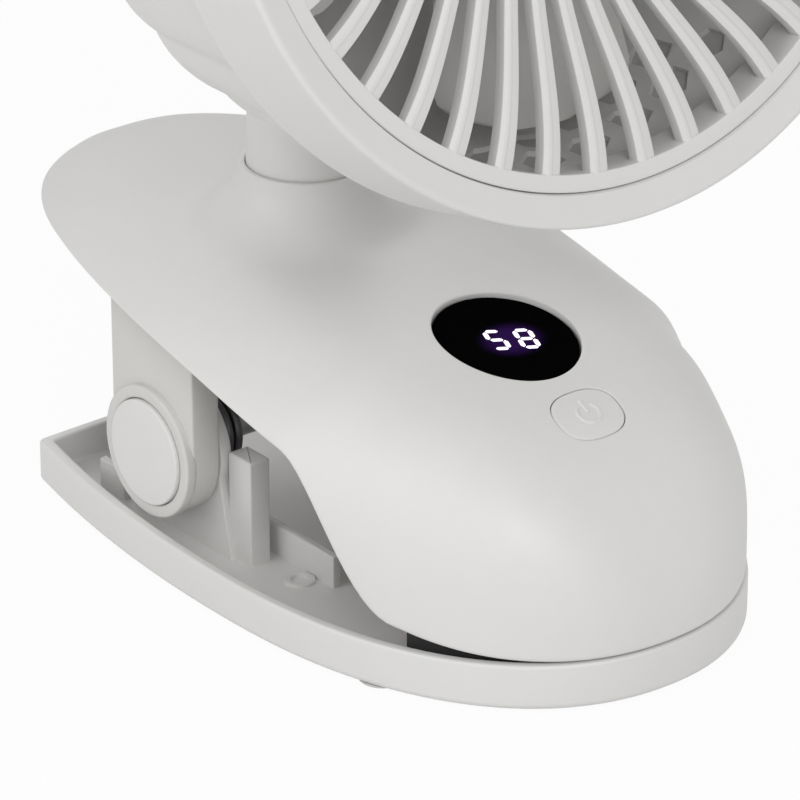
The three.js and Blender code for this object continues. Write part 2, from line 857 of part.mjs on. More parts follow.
function neckPost() {
  const flangeTop = flangeZ + neckFlangeThickness;
  const post = turned([
    [0, flangeZ],
    [flangeRadius, flangeZ],
    [flangeRadius, flangeTop],
    [neckRadius, flangeTop],
    [neckRadius, collarTop],
    [neckTopRadius, neckShoulderZ - 3],
    [neckTopRadius - 1, neckShoulderZ - 1],
    [neckTopRadius - 3.2, neckShoulderZ],
    [0, neckShoulderZ],
  ], 32).translate([0, neckY, 0]);
  const knuckle = join(
    rodX(knuckleRadius, -knuckleHalfWidth, knuckleHalfWidth, neckY, tiltZ, 36),
    box(-knuckleHalfWidth, knuckleHalfWidth, neckY - knuckleRadius, neckY + knuckleRadius,
      neckShoulderZ - 5, tiltZ),
  );
  return cut(
    join(post, knuckle),
    rodX(tiltPinRadius + clearance, -neckRadius, neckRadius, neckY, tiltZ),
    rod(wireBore, 0, neckShoulderZ, 0, neckY),
  );
}

function swivelWasher() {
  const top = flangeZ - clearance;
  return turnedRing([
    [neckRadius - 3, top - washerThickness],
    [flangeRadius, top - washerThickness],
    [flangeRadius, top],
    [neckRadius - 3, top],
  ], 20).translate([0, neckY, 0]);
}

const clevisInnerX = knuckleHalfWidth + tiltWasher + 2 * clearance;
const clevisOuterX = clevisInnerX + clevisThickness;

function tiltWasherDisc(side) {
  const [x0, x1] = span(side, knuckleHalfWidth + clearance, knuckleHalfWidth + clearance + tiltWasher);
  return cut(
    rodX(clevisRadius - 1, x0, x1, neckY, tiltZ),
    rodX(tiltPinRadius + clearance, x0 - 1, x1 + 1, neckY, tiltZ),
  );
}

function tiltPin() {
  const seat = clevisOuterX + clearance;
  return join(
    rodX(tiltPinRadius, -seat - tiltHeadHeight, seat + 1, neckY, tiltZ),
    rodX(tiltHeadRadius, seat, seat + tiltHeadHeight, neckY, tiltZ),
  );
}

function tiltNut() {
  const seat = clevisOuterX + clearance;
  return cut(
    rodX(tiltHeadRadius, -seat - tiltHeadHeight, -seat, neckY, tiltZ, 6),
    rodX(tiltPinRadius + clearance, -seat - tiltHeadHeight - 1, 0, neckY, tiltZ),
  );
}

// ---------------------------------------------------------------- fan head, about its own axis

const headAngle = degToRad(90 - headTilt);

/** A y, z point of the fan as a point of the head's own frame. */
function inHead(y, z) {
  const p = v3(0, y - headY, z - headZ).applyAxisAngle(v3(1, 0, 0), -headAngle);
  return [p.y, p.z];
}

function ringHousing() {
  const ledgeZ = -grilleDepth - clearance;
  return turnedRing([
    [ringRadius - ringDraft, ringRear],
    [ringRadius, -1],
    [ringRadius, ringFront - ringFillet],
    [ringRadius - ringFillet * 0.3, ringFront - ringFillet * 0.3],
    [ringRadius - ringFillet, ringFront],
    [seamRadius, clearance],
    [seamRadius, ledgeZ],
    [seamRadius - ledgeWidth, ledgeZ],
    [seamRadius - ledgeWidth, ledgeZ - ledgeThickness],
    [ringBore, ledgeZ - ledgeThickness],
    [ringBore, ringRear],
  ], 44);
}

/** How far a vane has swung from its place at the rim, in radians, at a radius. */
function vaneAngle(index, radius) {
  const bow = vaneBow * (grilleOpening - radius) ** 2;
  return degToRad(vanePhase + (360 / vaneCount) * index - bow);
}

/** A point of the head's face: angle 0 is straight down and it turns towards +X. */
function onFace(radius, angle, across) {
  const x = radius * Math.sin(angle) + across * Math.cos(angle);
  return [x, -radius * Math.cos(angle) + across * Math.sin(angle)];
}

function vane(index) {
  const steps = 3;
  const left = [];
  const right = [];
  for (let i = 0; i <= steps; i += 1) {
    const radius = lerp(grilleHubRadius - 1, grilleOpening + 1, i / steps);
    const half = lerp(vaneHubWidth, vaneRimWidth, i / steps) / 2;
    left.push(onFace(radius, vaneAngle(index, radius), -half));
    right.push(onFace(radius, vaneAngle(index, radius), half));
  }
  return slab(polygon([...right, ...left.reverse()]), -grilleDepth, 0);
}

function frontGrille() {
  const rim = turnedRing([
    [grilleOpening, -grilleDepth],
    [seamRadius - clearance, -grilleDepth],
    [seamRadius - clearance, 0],
    [grilleOpening, 0],
  ], 41);
  const hub = rod(grilleHubRadius, -grilleDepth, 0, 0, 0, 41);
  const vanes = Array.from({ length: vaneCount }, (_, i) => vane(i));
  return join(rim, hub, ...vanes);
}

/** The outer line of the rear cover as [radius, z], from its rim to its flat back. */
function rearCoverLine(inset) {
  const waist = v2(coverWaistRadius - inset, coverWaist);
  const bend = v2(coverWaistRadius - 2.6 - inset, coverBack + inset);
  const back = v2(coverBackRadius - inset / 2, coverBack + inset);
  const corner = new THREE.QuadraticBezierCurve(waist, bend, back).getPoints(3);
  return corner.map((p) => [p.x, p.y]);
}

function hexPrism(depth) {
  return new THREE.CylinderGeometry(hexAcross / Math.sqrt(3), hexAcross / Math.sqrt(3), depth, 6);
}

/** Vents through the side wall, in a field at the bottom and one at the top. */
function sideVents() {
  const vents = [];
  const rowPitch = hexPitch * Math.sin(Math.PI / 3);
  const step = hexPitch / coverWaistRadius;
  const columns = Math.floor(degToRad(ventFieldHalfAngle) / step);
  for (const middle of [0, Math.PI]) {
    for (let row = 0; row < ventRows; row += 1) {
      const odd = row % 2;
      for (let column = -columns; column <= columns - odd; column += 1) {
        const angle = middle + (column + odd / 2) * step;
        const [x, y] = onFace(coverWaistRadius + 1, angle, 0);
        const place = shift(x, y, ventFrontRow - row * rowPitch);
        const turn = new THREE.Matrix4().makeRotationZ(angle);
        vents.push(solid(hexPrism(14), place.multiply(turn)));
      }
    }
  }
  return vents;
}

/** Vents through the flat back, between the motor and the rounded corner. */
function backVents() {
  const vents = [];
  const rowPitch = hexPitch * Math.sin(Math.PI / 3);
  const reach = Math.ceil(backVentOuter / rowPitch);
  const [pinY] = inHead(neckY, tiltZ);
  for (let row = -reach; row <= reach; row += 1) {
    for (let column = -reach; column <= reach; column += 1) {
      const x = (column + (row % 2) / 2) * hexPitch;
      const y = row * rowPitch;
      const radius = Math.hypot(x, y);
      const nearX = Math.abs(x) < clevisOuterX + hexAcross;
      const nearY = Math.abs(y - pinY) < clevisRadius + hexAcross;
      if (radius > backVentInner && radius < backVentOuter && !(nearX && nearY)) {
        vents.push(solid(hexPrism(headWall + 4), shift(x, y, coverBack + 1).multiply(alongZ)));
      }
    }
  }
  return vents;
}

/** An arm of the rear cover that holds one end of the tilt pin. */
function clevisArm(side) {
  const [pinY, pinZ] = inHead(neckY, tiltZ);
  const steps = 10;
  const round = [];
  for (let i = 0; i <= steps; i += 1) {
    const angle = Math.PI * (1 + i / steps);
    round.push([pinY + clevisRadius * Math.cos(angle), pinZ + clevisRadius * Math.sin(angle)]);
  }
  const root = coverBack + headWall / 2;
  const flare = 5;
  const arm = polygon([
    [pinY - clevisRadius - flare, root],
    ...round,
    [pinY + clevisRadius + flare, root],
  ]);
  const [x0, x1] = span(side, clevisInnerX, clevisOuterX);
  return cut(
    slabX(arm, x0, x1),
    rodX(tiltPinRadius + clearance, x0 - 1, x1 + 1, pinY, pinZ),
  );
}

function rearCover() {
  const spigot = ringBore - clearance;
  const rimWall = 1.7;
  const shoulder = ringRear - clearance;
  const bowl = turned([
    [0, coverBack],
    ...rearCoverLine(0).reverse(),
    [coverBodyRadius, shoulder],
    [spigot, shoulder],
    [spigot, coverRimFront],
    [spigot - rimWall, coverRimFront],
    [coverBodyRadius - headWall - 0.7, shoulder - 2],
    ...rearCoverLine(headWall),
    [0, coverBack + headWall],
  ], 38);
  const screwHoles = motorScrewPlaces().map(([x, y]) => (
    rod(screwShank + clearance, coverBack - 1, coverBack + headWall + 1, x, y, 12)
  ));
  return cut(
    join(bowl, clevisArm(-1), clevisArm(1)),
    ...sideVents(),
    ...backVents(),
    ...screwHoles,
  );
}

function motorScrewPlaces() {
  return [0, 1, 2].map((i) => onFace(motorScrewCircle, Math.PI + (i * 2 * Math.PI) / 3, 0));
}

function motorScrew([x, y]) {
  return join(
    rod(screwHead, coverBack - clearance - 1, coverBack - clearance, x, y, 16),
    rod(screwShank, coverBack - 0.8, coverBack + headWall + 3, x, y, 12),
  );
}

const motorBack = coverBack + headWall + clearance;
const motorFront = motorBack + motorLength;

function motor() {
  const body = turned([
    [0, motorBack],
    [motorRadius - 1, motorBack],
    [motorRadius, motorBack + 1],
    [motorRadius, motorFront - 1],
    [motorRadius - 1, motorFront],
    [0, motorFront],
  ], 24);
  const bores = motorScrewPlaces().map(([x, y]) => (
    rod(screwShank + clearance, motorBack - 1, motorBack + 4, x, y, 12)
  ));
  return cut(body, rod(shaftRadius + clearance, motorFront - 9, motorFront + 1, 0, 0, 16), ...bores);
}

function motorShaft() {
  const start = motorFront - 9 + clearance;
  return rod(shaftRadius, start, start + shaftLength, 0, 0, 16);
}

/** A twisted blade: a thin rounded section drawn out from the hub to the tip. */
function blade(index) {
  const middle = impellerFront - impellerDepth / 2;
  const turn = (2 * Math.PI * index) / bladeCount;
  const surface = (u, v, target) => {
    const along = Math.min(Math.max((6 * v - 1) / 4, 0), 1);
    const open = v < 0.05 || v > 0.95 ? 0 : 1;
    const radius = lerp(impellerHubRadius - 1, impellerRadius, along);
    const half = (open * lerp(bladeRootChord, bladeTipChord, along)) / 2;
    const pitch = degToRad(lerp(bladeRootPitch, bladeTipPitch, along));
    const across = half * Math.cos(2 * Math.PI * u);
    const thick = ((open * bladeThickness) / 2) * Math.sin(2 * Math.PI * u);
    const arc = (across * Math.cos(pitch) - thick * Math.sin(pitch)) / radius;
    const z = middle + across * Math.sin(pitch) + thick * Math.cos(pitch);
    target.set(radius * Math.sin(turn + arc), -radius * Math.cos(turn + arc), z);
  };
  return solid(new ParametricGeometry(surface, 8, 6));
}

function impeller() {
  const back = impellerFront - impellerDepth;
  const wall = 1.8;
  const bore = shaftRadius + clearance;
  const bossRadiusHere = 4;
  const shaftEnd = motorFront - 9 + 2 * clearance + shaftLength;
  const hub = turned([
    [0, impellerFront],
    [impellerHubRadius - 4, impellerFront],
    [impellerHubRadius - 1, impellerFront - 1.2],
    [impellerHubRadius, impellerFront - 4],
    [impellerHubRadius, back],
    [impellerHubRadius - wall, back],
    [impellerHubRadius - wall, impellerFront - 5],
    [bossRadiusHere, impellerFront - 5],
    [bossRadiusHere, back],
    [bore, back],
    [bore, shaftEnd],
    [0, shaftEnd],
  ], 24);
  const blades = Array.from({ length: bladeCount }, (_, i) => blade(i));
  const hollow = turnedRing([
    [bossRadiusHere, back - 9],
    [impellerHubRadius - wall, back - 9],
    [impellerHubRadius - wall, impellerFront - 5],
    [bossRadiusHere, impellerFront - 5],
  ], 24);
  return cut(join(hub, ...blades), hollow);
}

// ---------------------------------------------------------------- the fan, put together

const fan = new THREE.Group();

fan.add(piece('lower_jaw', lowerJaw(), whiteShell));
fan.add(piece('lower_jaw_pad', lowerPad(), rubber));
fan.add(piece('hinge_pin', hingePin(), steel));
for (const [where, y] of [['front', footFrontY], ['rear', footRearY]]) {
  for (const [name, x] of [['left', -footX], ['right', footX]]) {
    fan.add(piece(`foot_pad_${where}_${name}`, rod(footRadius, 0, jawUnderside, x, y), rubber));
  }
}
for (const [name, side] of [['left', -1], ['right', 1]]) {
  fan.add(piece(`torsion_spring_${name}`, torsionSpring(side), steel));
  fan.add(piece(`pivot_cap_${name}`, pivotCap(side), whiteShell));
  fan.add(piece(`tilt_washer_${name}`, tiltWasherDisc(side), steel));
}

fan.add(piece('top_shell', topShell(), whiteShell));
fan.add(piece('underside_cover', undersideCover(), whiteInner));
fan.add(piece('upper_jaw_pad', upperPad(), rubber));
fan.add(piece('display_window', onWindow(slab(
  superellipse(windowHalfWidth, windowHalfLength, 2), -windowThickness, 0,
)), blackGloss));
fan.add(piece('power_button', powerButton(), whiteShell));
fan.add(piece('circuit_board', circuitBoard(), boardGreen));
fan.add(piece('led_display', ledDisplay(), darkPlastic));
fan.add(piece('tact_switch', tactSwitch(), darkPlastic));
fan.add(piece('battery_cell', batteryCell(), cellWrap));
fan.add(piece('usb_board', usbBoard(), boardGreen));
fan.add(piece('usb_socket', usbSocket(), steel));
coverScrewPlaces().forEach((place, i) => {
  fan.add(piece(`cover_screw_${i + 1}`, coverScrew(place), steel));
});

fan.add(piece('neck_post', neckPost(), whiteShell));
fan.add(piece('swivel_washer', swivelWasher(), steel));
fan.add(piece('tilt_pin', tiltPin(), steel));
fan.add(piece('tilt_nut', tiltNut(), steel));

const head = new THREE.Group();
head.position.set(0, headY, headZ);
head.rotation.x = headAngle;
head.add(piece('ring_housing', ringHousing(), whiteShell));
head.add(piece('front_grille', frontGrille(), whiteShell));
head.add(piece('rear_cover', rearCover(), whiteShell));
head.add(piece('motor', motor(), steel));
head.add(piece('motor_shaft', motorShaft(), steel));
head.add(piece('impeller', impeller(), whiteInner));
motorScrewPlaces().forEach((place, i) => {
  head.add(piece(`motor_screw_${i + 1}`, motorScrew(place), steel));
});
fan.add(head);

export default fan;
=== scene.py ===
"""A rechargeable clip fan: the surfaces and finishes around its solids.

Sizes are in millimetres until a mesh is made; the meshes are in metres, in the frame of the solids.
"""

import math

import bmesh
import bpy
import numpy as np
from mathutils import Matrix, Vector


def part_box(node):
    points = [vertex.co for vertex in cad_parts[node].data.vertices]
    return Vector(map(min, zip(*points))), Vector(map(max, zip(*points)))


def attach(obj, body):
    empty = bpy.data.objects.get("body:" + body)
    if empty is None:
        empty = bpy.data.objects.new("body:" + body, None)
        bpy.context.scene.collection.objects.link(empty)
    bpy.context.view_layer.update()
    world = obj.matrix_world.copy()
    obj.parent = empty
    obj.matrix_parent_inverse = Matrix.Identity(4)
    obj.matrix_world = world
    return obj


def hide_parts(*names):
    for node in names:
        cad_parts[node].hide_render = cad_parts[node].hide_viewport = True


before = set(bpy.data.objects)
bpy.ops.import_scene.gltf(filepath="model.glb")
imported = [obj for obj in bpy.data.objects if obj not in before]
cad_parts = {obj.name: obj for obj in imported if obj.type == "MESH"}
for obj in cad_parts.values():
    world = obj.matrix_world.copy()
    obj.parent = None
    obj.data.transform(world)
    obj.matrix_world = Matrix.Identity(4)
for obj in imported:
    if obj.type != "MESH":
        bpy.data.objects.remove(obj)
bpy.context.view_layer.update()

MM = 0.001
SIDES = (("left", -1), ("right", 1))

# ---------------------------------------------------------------- sizes of the real fan

CLEARANCE = 0.3
SEAM = 0.12  # what shows of a clearance between fitted pieces

# Plan of both jaws
WIDEST_Y = -6.3
NOSE_LENGTH_POWER = 2.5
NOSE_WIDTH_POWER = 2.15

# Lower jaw
JAW_HALF_WIDTH = 41.4
JAW_FRONT_REACH = 66.9
JAW_REAR_REACH = 56.0
JAW_REAR_HALF_WIDTH = 35.3
JAW_CORNER = 1.2
JAW_REAR_BULGE = 0.7
JAW_UNDERSIDE = 0.4
JAW_FLOOR_TOP = 2.8
JAW_RIM_TOP = 8.3
JAW_WALL = 1.9
JAW_EDGE_ROUND = 1.4
SUNK_FOOT = JAW_FLOOR_TOP - 0.5  # foot of what stands in the tray
FOOT_RADIUS = 4.0
FOOT_X = 32.8
FOOT_YS = {"front": -41.8, "rear": 32.6}

# Clip hinge
PIVOT_Y = 14.2
PIVOT_Z = 19.8
PIN_RADIUS = 2.5
LUG_INNER_X = 28.0
LUG_THICKNESS = 2.3
LUG_RADIUS = 10.6
LUG_BOSS_RADIUS = 5.4
LUG_FOOT_FRONT = 13.0
LUG_FOOT_REAR = 14.0
POST_WIDTH = 5.2
POST_DEPTH = 6.0
POST_FRONT_Y = -2.7
POST_TOP = 21.4
RIB_THICKNESS = 1.6
LOW_WALL_X = 21.7
LOW_WALL_YS = (-17.0, 1.7)
REAR_RIB_X = 29.5
REAR_RIB_YS = (30.0, 36.8)
TRAY_RING_PLACE = (26.0, -11.5)
TRAY_RING_RADII = (1.5, 2.6)
SPRING_WIRE = 0.8
SPRING_COIL = 5.4
SPRING_INNER_X = 22.5
SPRING_TURNS = 2.5
SPRING_TURN_PITCH = 1.75
SPRING_LEG_REAR = 18.0
SPRING_LEG_BEND = 1.3
SPRING_STEPS = 28  # for each turn

# Upper shell
SHELL_HALF_WIDTH = 41.0
SHELL_FRONT_REACH = 66.6
SHELL_REAR_REACH = 79.5
SHELL_NOSE_Y = WIDEST_Y - SHELL_FRONT_REACH
SHELL_TAIL_Y = WIDEST_Y + SHELL_REAR_REACH
TAIL_POWER = 2.35
SHELL_WALL = 1.8
LIP_HEIGHT = 8.5
LIP_RISE = 3.1
NOTCH_YS = (-47.5, -25.0)
TAIL_EDGE_HEIGHT = 47.4
EDGE_FALL = 9.0
EDGE_FALL_LENGTH = 57.4
EDGE_LEVEL_Y = 45.0
NOSE_TOP = 9.5
CROWN_TOP = 50.0
CROWN_RISE = 1.0
CROWN_LENGTH_POWER = 3.34
CROWN_HEIGHT_POWER = 2.09
SECTION_POWER = 3.6
NOSE_FULLNESS = 4.13
CROWN_FULLNESS = 0.85
FULLNESS_Y = -61.6
FULLNESS_LENGTH = 16.7
CHEEK_FULLNESS = 0.75
CHEEK_Y = -42.5
CHEEK_LENGTH = 7.0
LIP_ROUND = 1.0
COVER_THICKNESS = 1.5
COVER_INSET = 3.8
COVER_LIFT = 2.4
COVER_LIFT_YS = (-46.0, -36.0)
EAR_INNER_X = 30.8
EAR_FACE_X = EAR_INNER_X + 5.5
EAR_RADIUS = 11.0
EAR_FLANGE = 1.3
EAR_FLANGE_OVERHANG = 0.3
CAP_RADIUS = 9.0
CAP_PROUD = 0.7
PAD_REAR_Y = -47.0
LOWER_PAD_TOP = 6.2
PAD_INSET = 2.6
PAD_FRONT_GAP = 2.0
GROOVE_PITCH = 5.0
GROOVE_DEPTH = 0.5
CELL_RADIUS = 9.2
CELL_LENGTH = 65.2
CELL_Y = -24.7
CELL_Z = 23.1
TROUGH_WALL = 1.5
SCREW_PLACES = ((-24.0, -8.0), (24.0, -8.0), (-17.0, 27.0), (17.0, 27.0))
SCREW_HEAD = 2.5
SCREW_HEAD_HEIGHT = 1.2

# Neck, swivel and tilt hinge
NECK_Y = 19.7
NECK_RADIUS = 10.1
NECK_TOP_RADIUS = 9.3
NECK_SHOULDER_Z = 89.0
COLLAR_TOP = 60.0
COLLAR_LIP = 0.8
COLLAR_FOOT_RADIUS = 24.0
COLLAR_FOOT_Z = 48.6
COLLAR_REACH = 27.0
COLLAR_BEND = (1.4, 2.6)  # where the flare turns, out from its top and up from its foot
COLLAR_BLEND = 0.6
NECK_FLANGE_RADIUS = 12.2
NECK_FLANGE_Z = 48.8
NECK_FLANGE_THICKNESS = 2.0
SWIVEL_WASHER = 1.4
SWIVEL_POST_FOOT = 40.5
TILT_Z = 102.0
KNUCKLE_RADIUS = 8.5
KNUCKLE_HALF_WIDTH = 5.5
TILT_WASHER = 0.5
CLEVIS_THICKNESS = 4.4
CLEVIS_RADIUS = 8.0
TILT_PIN_RADIUS = 2.0
TILT_HEAD_RADIUS = 4.0
TILT_HEAD_HEIGHT = 2.0
CLEVIS_INNER_X = KNUCKLE_HALF_WIDTH + TILT_WASHER + 2 * CLEARANCE
CLEVIS_OUTER_X = CLEVIS_INNER_X + CLEVIS_THICKNESS

# Display, button and charging socket
WINDOW_Y = -32.0
WINDOW_SINK = 1.0
WINDOW_SLOPE = 10.0
WINDOW_HALF_WIDTH = 11.4
WINDOW_HALF_LENGTH = 12.25
WINDOW_THICKNESS = 2.2
BUTTON_Y = -52.3
BUTTON_SLOPE = 24.0
BUTTON_HALF_WIDTH = 6.2
BUTTON_HALF_LENGTH = 4.8
BUTTON_POWER = 2.5
BUTTON_SKIRT = 2.6
MARK_RADIUS = 1.95
MARK_LINE = 0.32
USB_Y = -40.0
USB_Z = 30.0
USB_WIDTH = 9.0
USB_HEIGHT = 3.2
USB_DEPTH = 7.4
USB_RECESS = 1.4
USB_WALL = 0.35
USB_POWER = 5
USB_TONGUE = (3.2, 0.35)  # half of its width and height

# Fan head, along its own axis from the plane of the grille's seam
HEAD_TILT = 12.6
HEAD_Y = -49.3
HEAD_Z = 145.5
RING_RADIUS = 69.0
RING_FRONT = 1.7
RING_REAR = -15.5
RING_DRAFT = 0.3
RING_EDGE_ROUND = 1.5
SEAM_RADIUS = 63.7
LEDGE_WIDTH = 1.5
LEDGE_THICKNESS = 1.5
RING_BORE = 66.2
GRILLE_OPENING = 60.8
GRILLE_DEPTH = 8.0
GRILLE_HUB_RADIUS = 20.0
GRILLE_HUB_GROOVE = (1.6, 2.0, 2.4)  # in from the edge: its sides and middle
VANE_COUNT = 41
VANE_PHASE = 2.2
VANE_BOW = 0.0128
VANE_RIM_WIDTH = 3.5
VANE_HUB_WIDTH = 2.3
VANE_DEPTH = 2.5
VANE_SECTION = (  # shares of a vane's half width, and depths from its face
    (-0.9, -VANE_DEPTH), (-1.0, -0.7), (-0.97, -0.4), (-0.86, -0.27), (-0.78, -0.24), (-0.7, -0.1),
    (-0.5, -0.01), (-0.25, 0.0), (-0.05, -0.08), (0.03, -0.24), (0.12, -0.28), (0.8, -0.3),
    (0.95, -0.42), (1.0, -0.75), (0.86, -VANE_DEPTH),
)
COVER_RIM_FRONT = -12.5
COVER_BODY_RADIUS = 66.8
COVER_WAIST_RADIUS = 61.2
COVER_WAIST = -45.0
COVER_BACK = -61.0
COVER_BACK_RADIUS = 48.0
COVER_TURN_IN = 2.6
HEAD_WALL = 2.0
RIM_WALL = 1.7
LOBE_COUNT = 26
LOBE_DEPTH = 1.3
LOBE_STEPS = 16
LOBE_FADE_LENGTH = 6.0  # from the shoulder back
LOBE_FADE_RADII = (40.0, 52.0)
HEX_ACROSS = 6.4
HEX_PITCH = 9.0
VENT_CUT_DEPTH = 12.0
VENT_FIELD_HALF_ANGLE = 40.0
VENT_FRONT_ROW = -23.0
VENT_ROWS = 2
BACK_VENT_RING = (28.0, 40.5)
# thickness of the grey sheet of painted shade behind the side vents
PAINTED_SHADE_THICKNESS = 0.3
MOTOR_RADIUS = 17.0
MOTOR_LENGTH = 22.5
MOTOR_BACK = COVER_BACK + HEAD_WALL + CLEARANCE
MOTOR_FRONT = MOTOR_BACK + MOTOR_LENGTH
MOTOR_SCREW_CIRCLE = 9.0
MOTOR_SCREW_LENGTH = 6.6
SHAFT_RADIUS = 1.5
SHAFT_LENGTH = 27.5
SHAFT_SEAT = 9.0
IMPELLER_FRONT = -14.0
IMPELLER_DEPTH = 18.0
IMPELLER_HUB_RADIUS = 15.0
IMPELLER_HUB_WALL = 1.8
IMPELLER_RADIUS = 57.0
BLADE_COUNT = 5
BLADE_CHORDS = (20.0, 34.0)
BLADE_THICKNESS = 1.6
BLADE_TIP_SHARE = 0.14
BLADE_TIP_NARROWING = 0.9
BLADE_PITCHES = (38.0, 22.0)

# The seven-segment figures lie in the plane of the window
FIGURES = "58"
FIGURE_MIDDLE = (0.47, -0.83)
FIGURE_RIGHT = (0.919, -0.396)
FIGURE_UP = (0.304, 0.952)
FIGURE_WIDTH = 2.5
FIGURE_HEIGHT = 5.0
FIGURE_PITCH = 4.93
SEGMENT_WIDTH = 0.8
SEGMENT_GAP = 0.2  # share of its width
SEGMENTS = {  # ends of each segment, in halves of the figure's width and height
    "top": ((-1, 1), (1, 1)), "middle": ((-1, 0), (1, 0)), "bottom": ((-1, -1), (1, -1)),
    "upper left": ((-1, 0), (-1, 1)), "upper right": ((1, 0), (1, 1)),
    "lower left": ((-1, -1), (-1, 0)), "lower right": ((1, -1), (1, 0)),
}
UNLIT = {"5": ("upper right", "lower left"), "8": ()}
GLOW_START = 2.5
GLOW_END = 6.6
GLOW_SQUEEZE = (1.0, 1.25, 1.25)

# Solids that keep their shape and get a finish
KEPT_SOLIDS = {
    "circuit_board": "board", "usb_board": "board", "led_display": "dark_plastic",
    "tact_switch": "dark_plastic", "battery_cell": "cell_wrap", "swivel_washer": "steel",
    "tilt_washer_left": "steel", "tilt_washer_right": "steel",
}

# Camera and light, in metres
CAMERA_PLACE = (-0.5042, -0.6410, 0.4080)
CAMERA_RIGHT = (0.7837, -0.6212, 0.0)
CAMERA_UP = (0.2650, 0.3343, 0.9045)
CAMERA_BACK = (-0.5618, -0.7088, 0.4266)
LENS = 246.6
LIGHTS = (  # name, place, target, size and power
    ("key", (-0.45, -0.95, 0.72), (0, -0.02, 0.1), 0.6, 5.3),
    ("fill", (-0.95, 0.1, 0.55), (0, -0.02, 0.08), 0.8, 2.9),
    ("back", (0.6, 0.8, 0.8), (0, 0, 0.08), 0.8, 2.0),
)
SKY = 0.52
FLOOR_GLOW = 0.94

# ---------------------------------------------------------------- shape helpers


def smooth_between(value, low, high):
    t = np.clip((value - low) / (high - low), 0, 1)
    return t * t * (3 - 2 * t)


def signed_power(value, power):
    return np.sign(value) * np.abs(value) ** power


def lerp(a, b, t):
    return a + (b - a) * t


def curve(start, bend, end, t):
    """The way from start to end that sets out towards bend."""
    return (1 - t) ** 2 * start + 2 * t * (1 - t) * bend + t * t * end


def circle(steps):
    """Angles evenly spaced round a circle."""
    return np.arange(steps) * 2 * math.pi / steps


def arc(middle, radius, angles):
    return [(middle[0] + radius * math.cos(a), middle[1] + radius * math.sin(a)) for a in angles]


def rounding(radius, degrees):
    """Inset and rise of a rounded edge at some angles round it."""
    return [(radius * (1 - math.sin(a)), radius * (1 - math.cos(a))) for a in np.radians(degrees)]


def superellipse(half_width, half_length, power, steps):
    """A closed outline round the origin, anticlockwise from +X."""
    angle = circle(steps)
    x = half_width * signed_power(np.cos(angle), 2 / power)
    y = half_length * signed_power(np.sin(angle), 2 / power)
    return list(zip(x.tolist(), y.tolist()))


def soften(line, radius, closed=False, steps=4):
    """A line of points with its corners rounded."""
    rounded = []
    for i, corner in enumerate(line):
        here = np.array(corner, float)
        if not closed and i in (0, len(line) - 1):
            rounded.append(tuple(here))
            continue
        back = np.array(line[i - 1], float) - here
        ahead = np.array(line[(i + 1) % len(line)], float) - here
        lengths = np.linalg.norm(back), np.linalg.norm(ahead)
        bend = math.acos(np.clip(-(back @ ahead) / (lengths[0] * lengths[1]), -1, 1))
        if bend < math.radians(10):
            rounded.append(tuple(here))
            continue
        reach = min(radius, 0.45 * lengths[0], 0.45 * lengths[1])
        start = here + back / lengths[0] * reach
        end = here + ahead / lengths[1] * reach
        rounded += [tuple(curve(start, here, end, step / steps)) for step in range(steps + 1)]
    return rounded


def rectangle(x, y):
    """The corners between a pair of x and a pair of y."""
    return [(x[0], y[0]), (x[1], y[0]), (x[1], y[1]), (x[0], y[1])]


def inset_outline(outline, distance):
    """A closed outline moved inwards by a small distance."""
    points = np.array(outline, float)
    after = np.roll(points, -1, axis=0)
    area = np.sum(points[:, 0] * after[:, 1] - after[:, 0] * points[:, 1])
    run = after - np.roll(points, 1, axis=0)
    run /= np.linalg.norm(run, axis=1)[:, None] + 1e-12
    inwards = np.stack([-run[:, 1], run[:, 0]], axis=1) * math.copysign(1, area)
    return (points + inwards * distance).tolist()


def span(side, near, far):
    """Two distances from the middle plane as a range on one side of it."""
    return sorted((side * near, side * far))


def along_x(y, z):
    """Lays a shape's own Z axis along X, through y, z."""
    return Matrix(((0, 0, 1, 0), (1, 0, 0, y), (0, 1, 0, z), (0, 0, 0, 1)))


def tilted(slope, y, z):
    """Leans a shape back by a slope in degrees and sets it at y, z."""
    return Matrix.Translation((0, y, z)) @ Matrix.Rotation(math.radians(slope), 4, "X")


def laid(place, outline):
    """The points of a flat outline, set in a place."""
    return np.array([place @ Vector((*point, 0)) for point in outline])


HEAD = tilted(90 - HEAD_TILT, HEAD_Y, HEAD_Z)
TILT_PIN = HEAD.inverted() @ Vector((0, NECK_Y, TILT_Z))


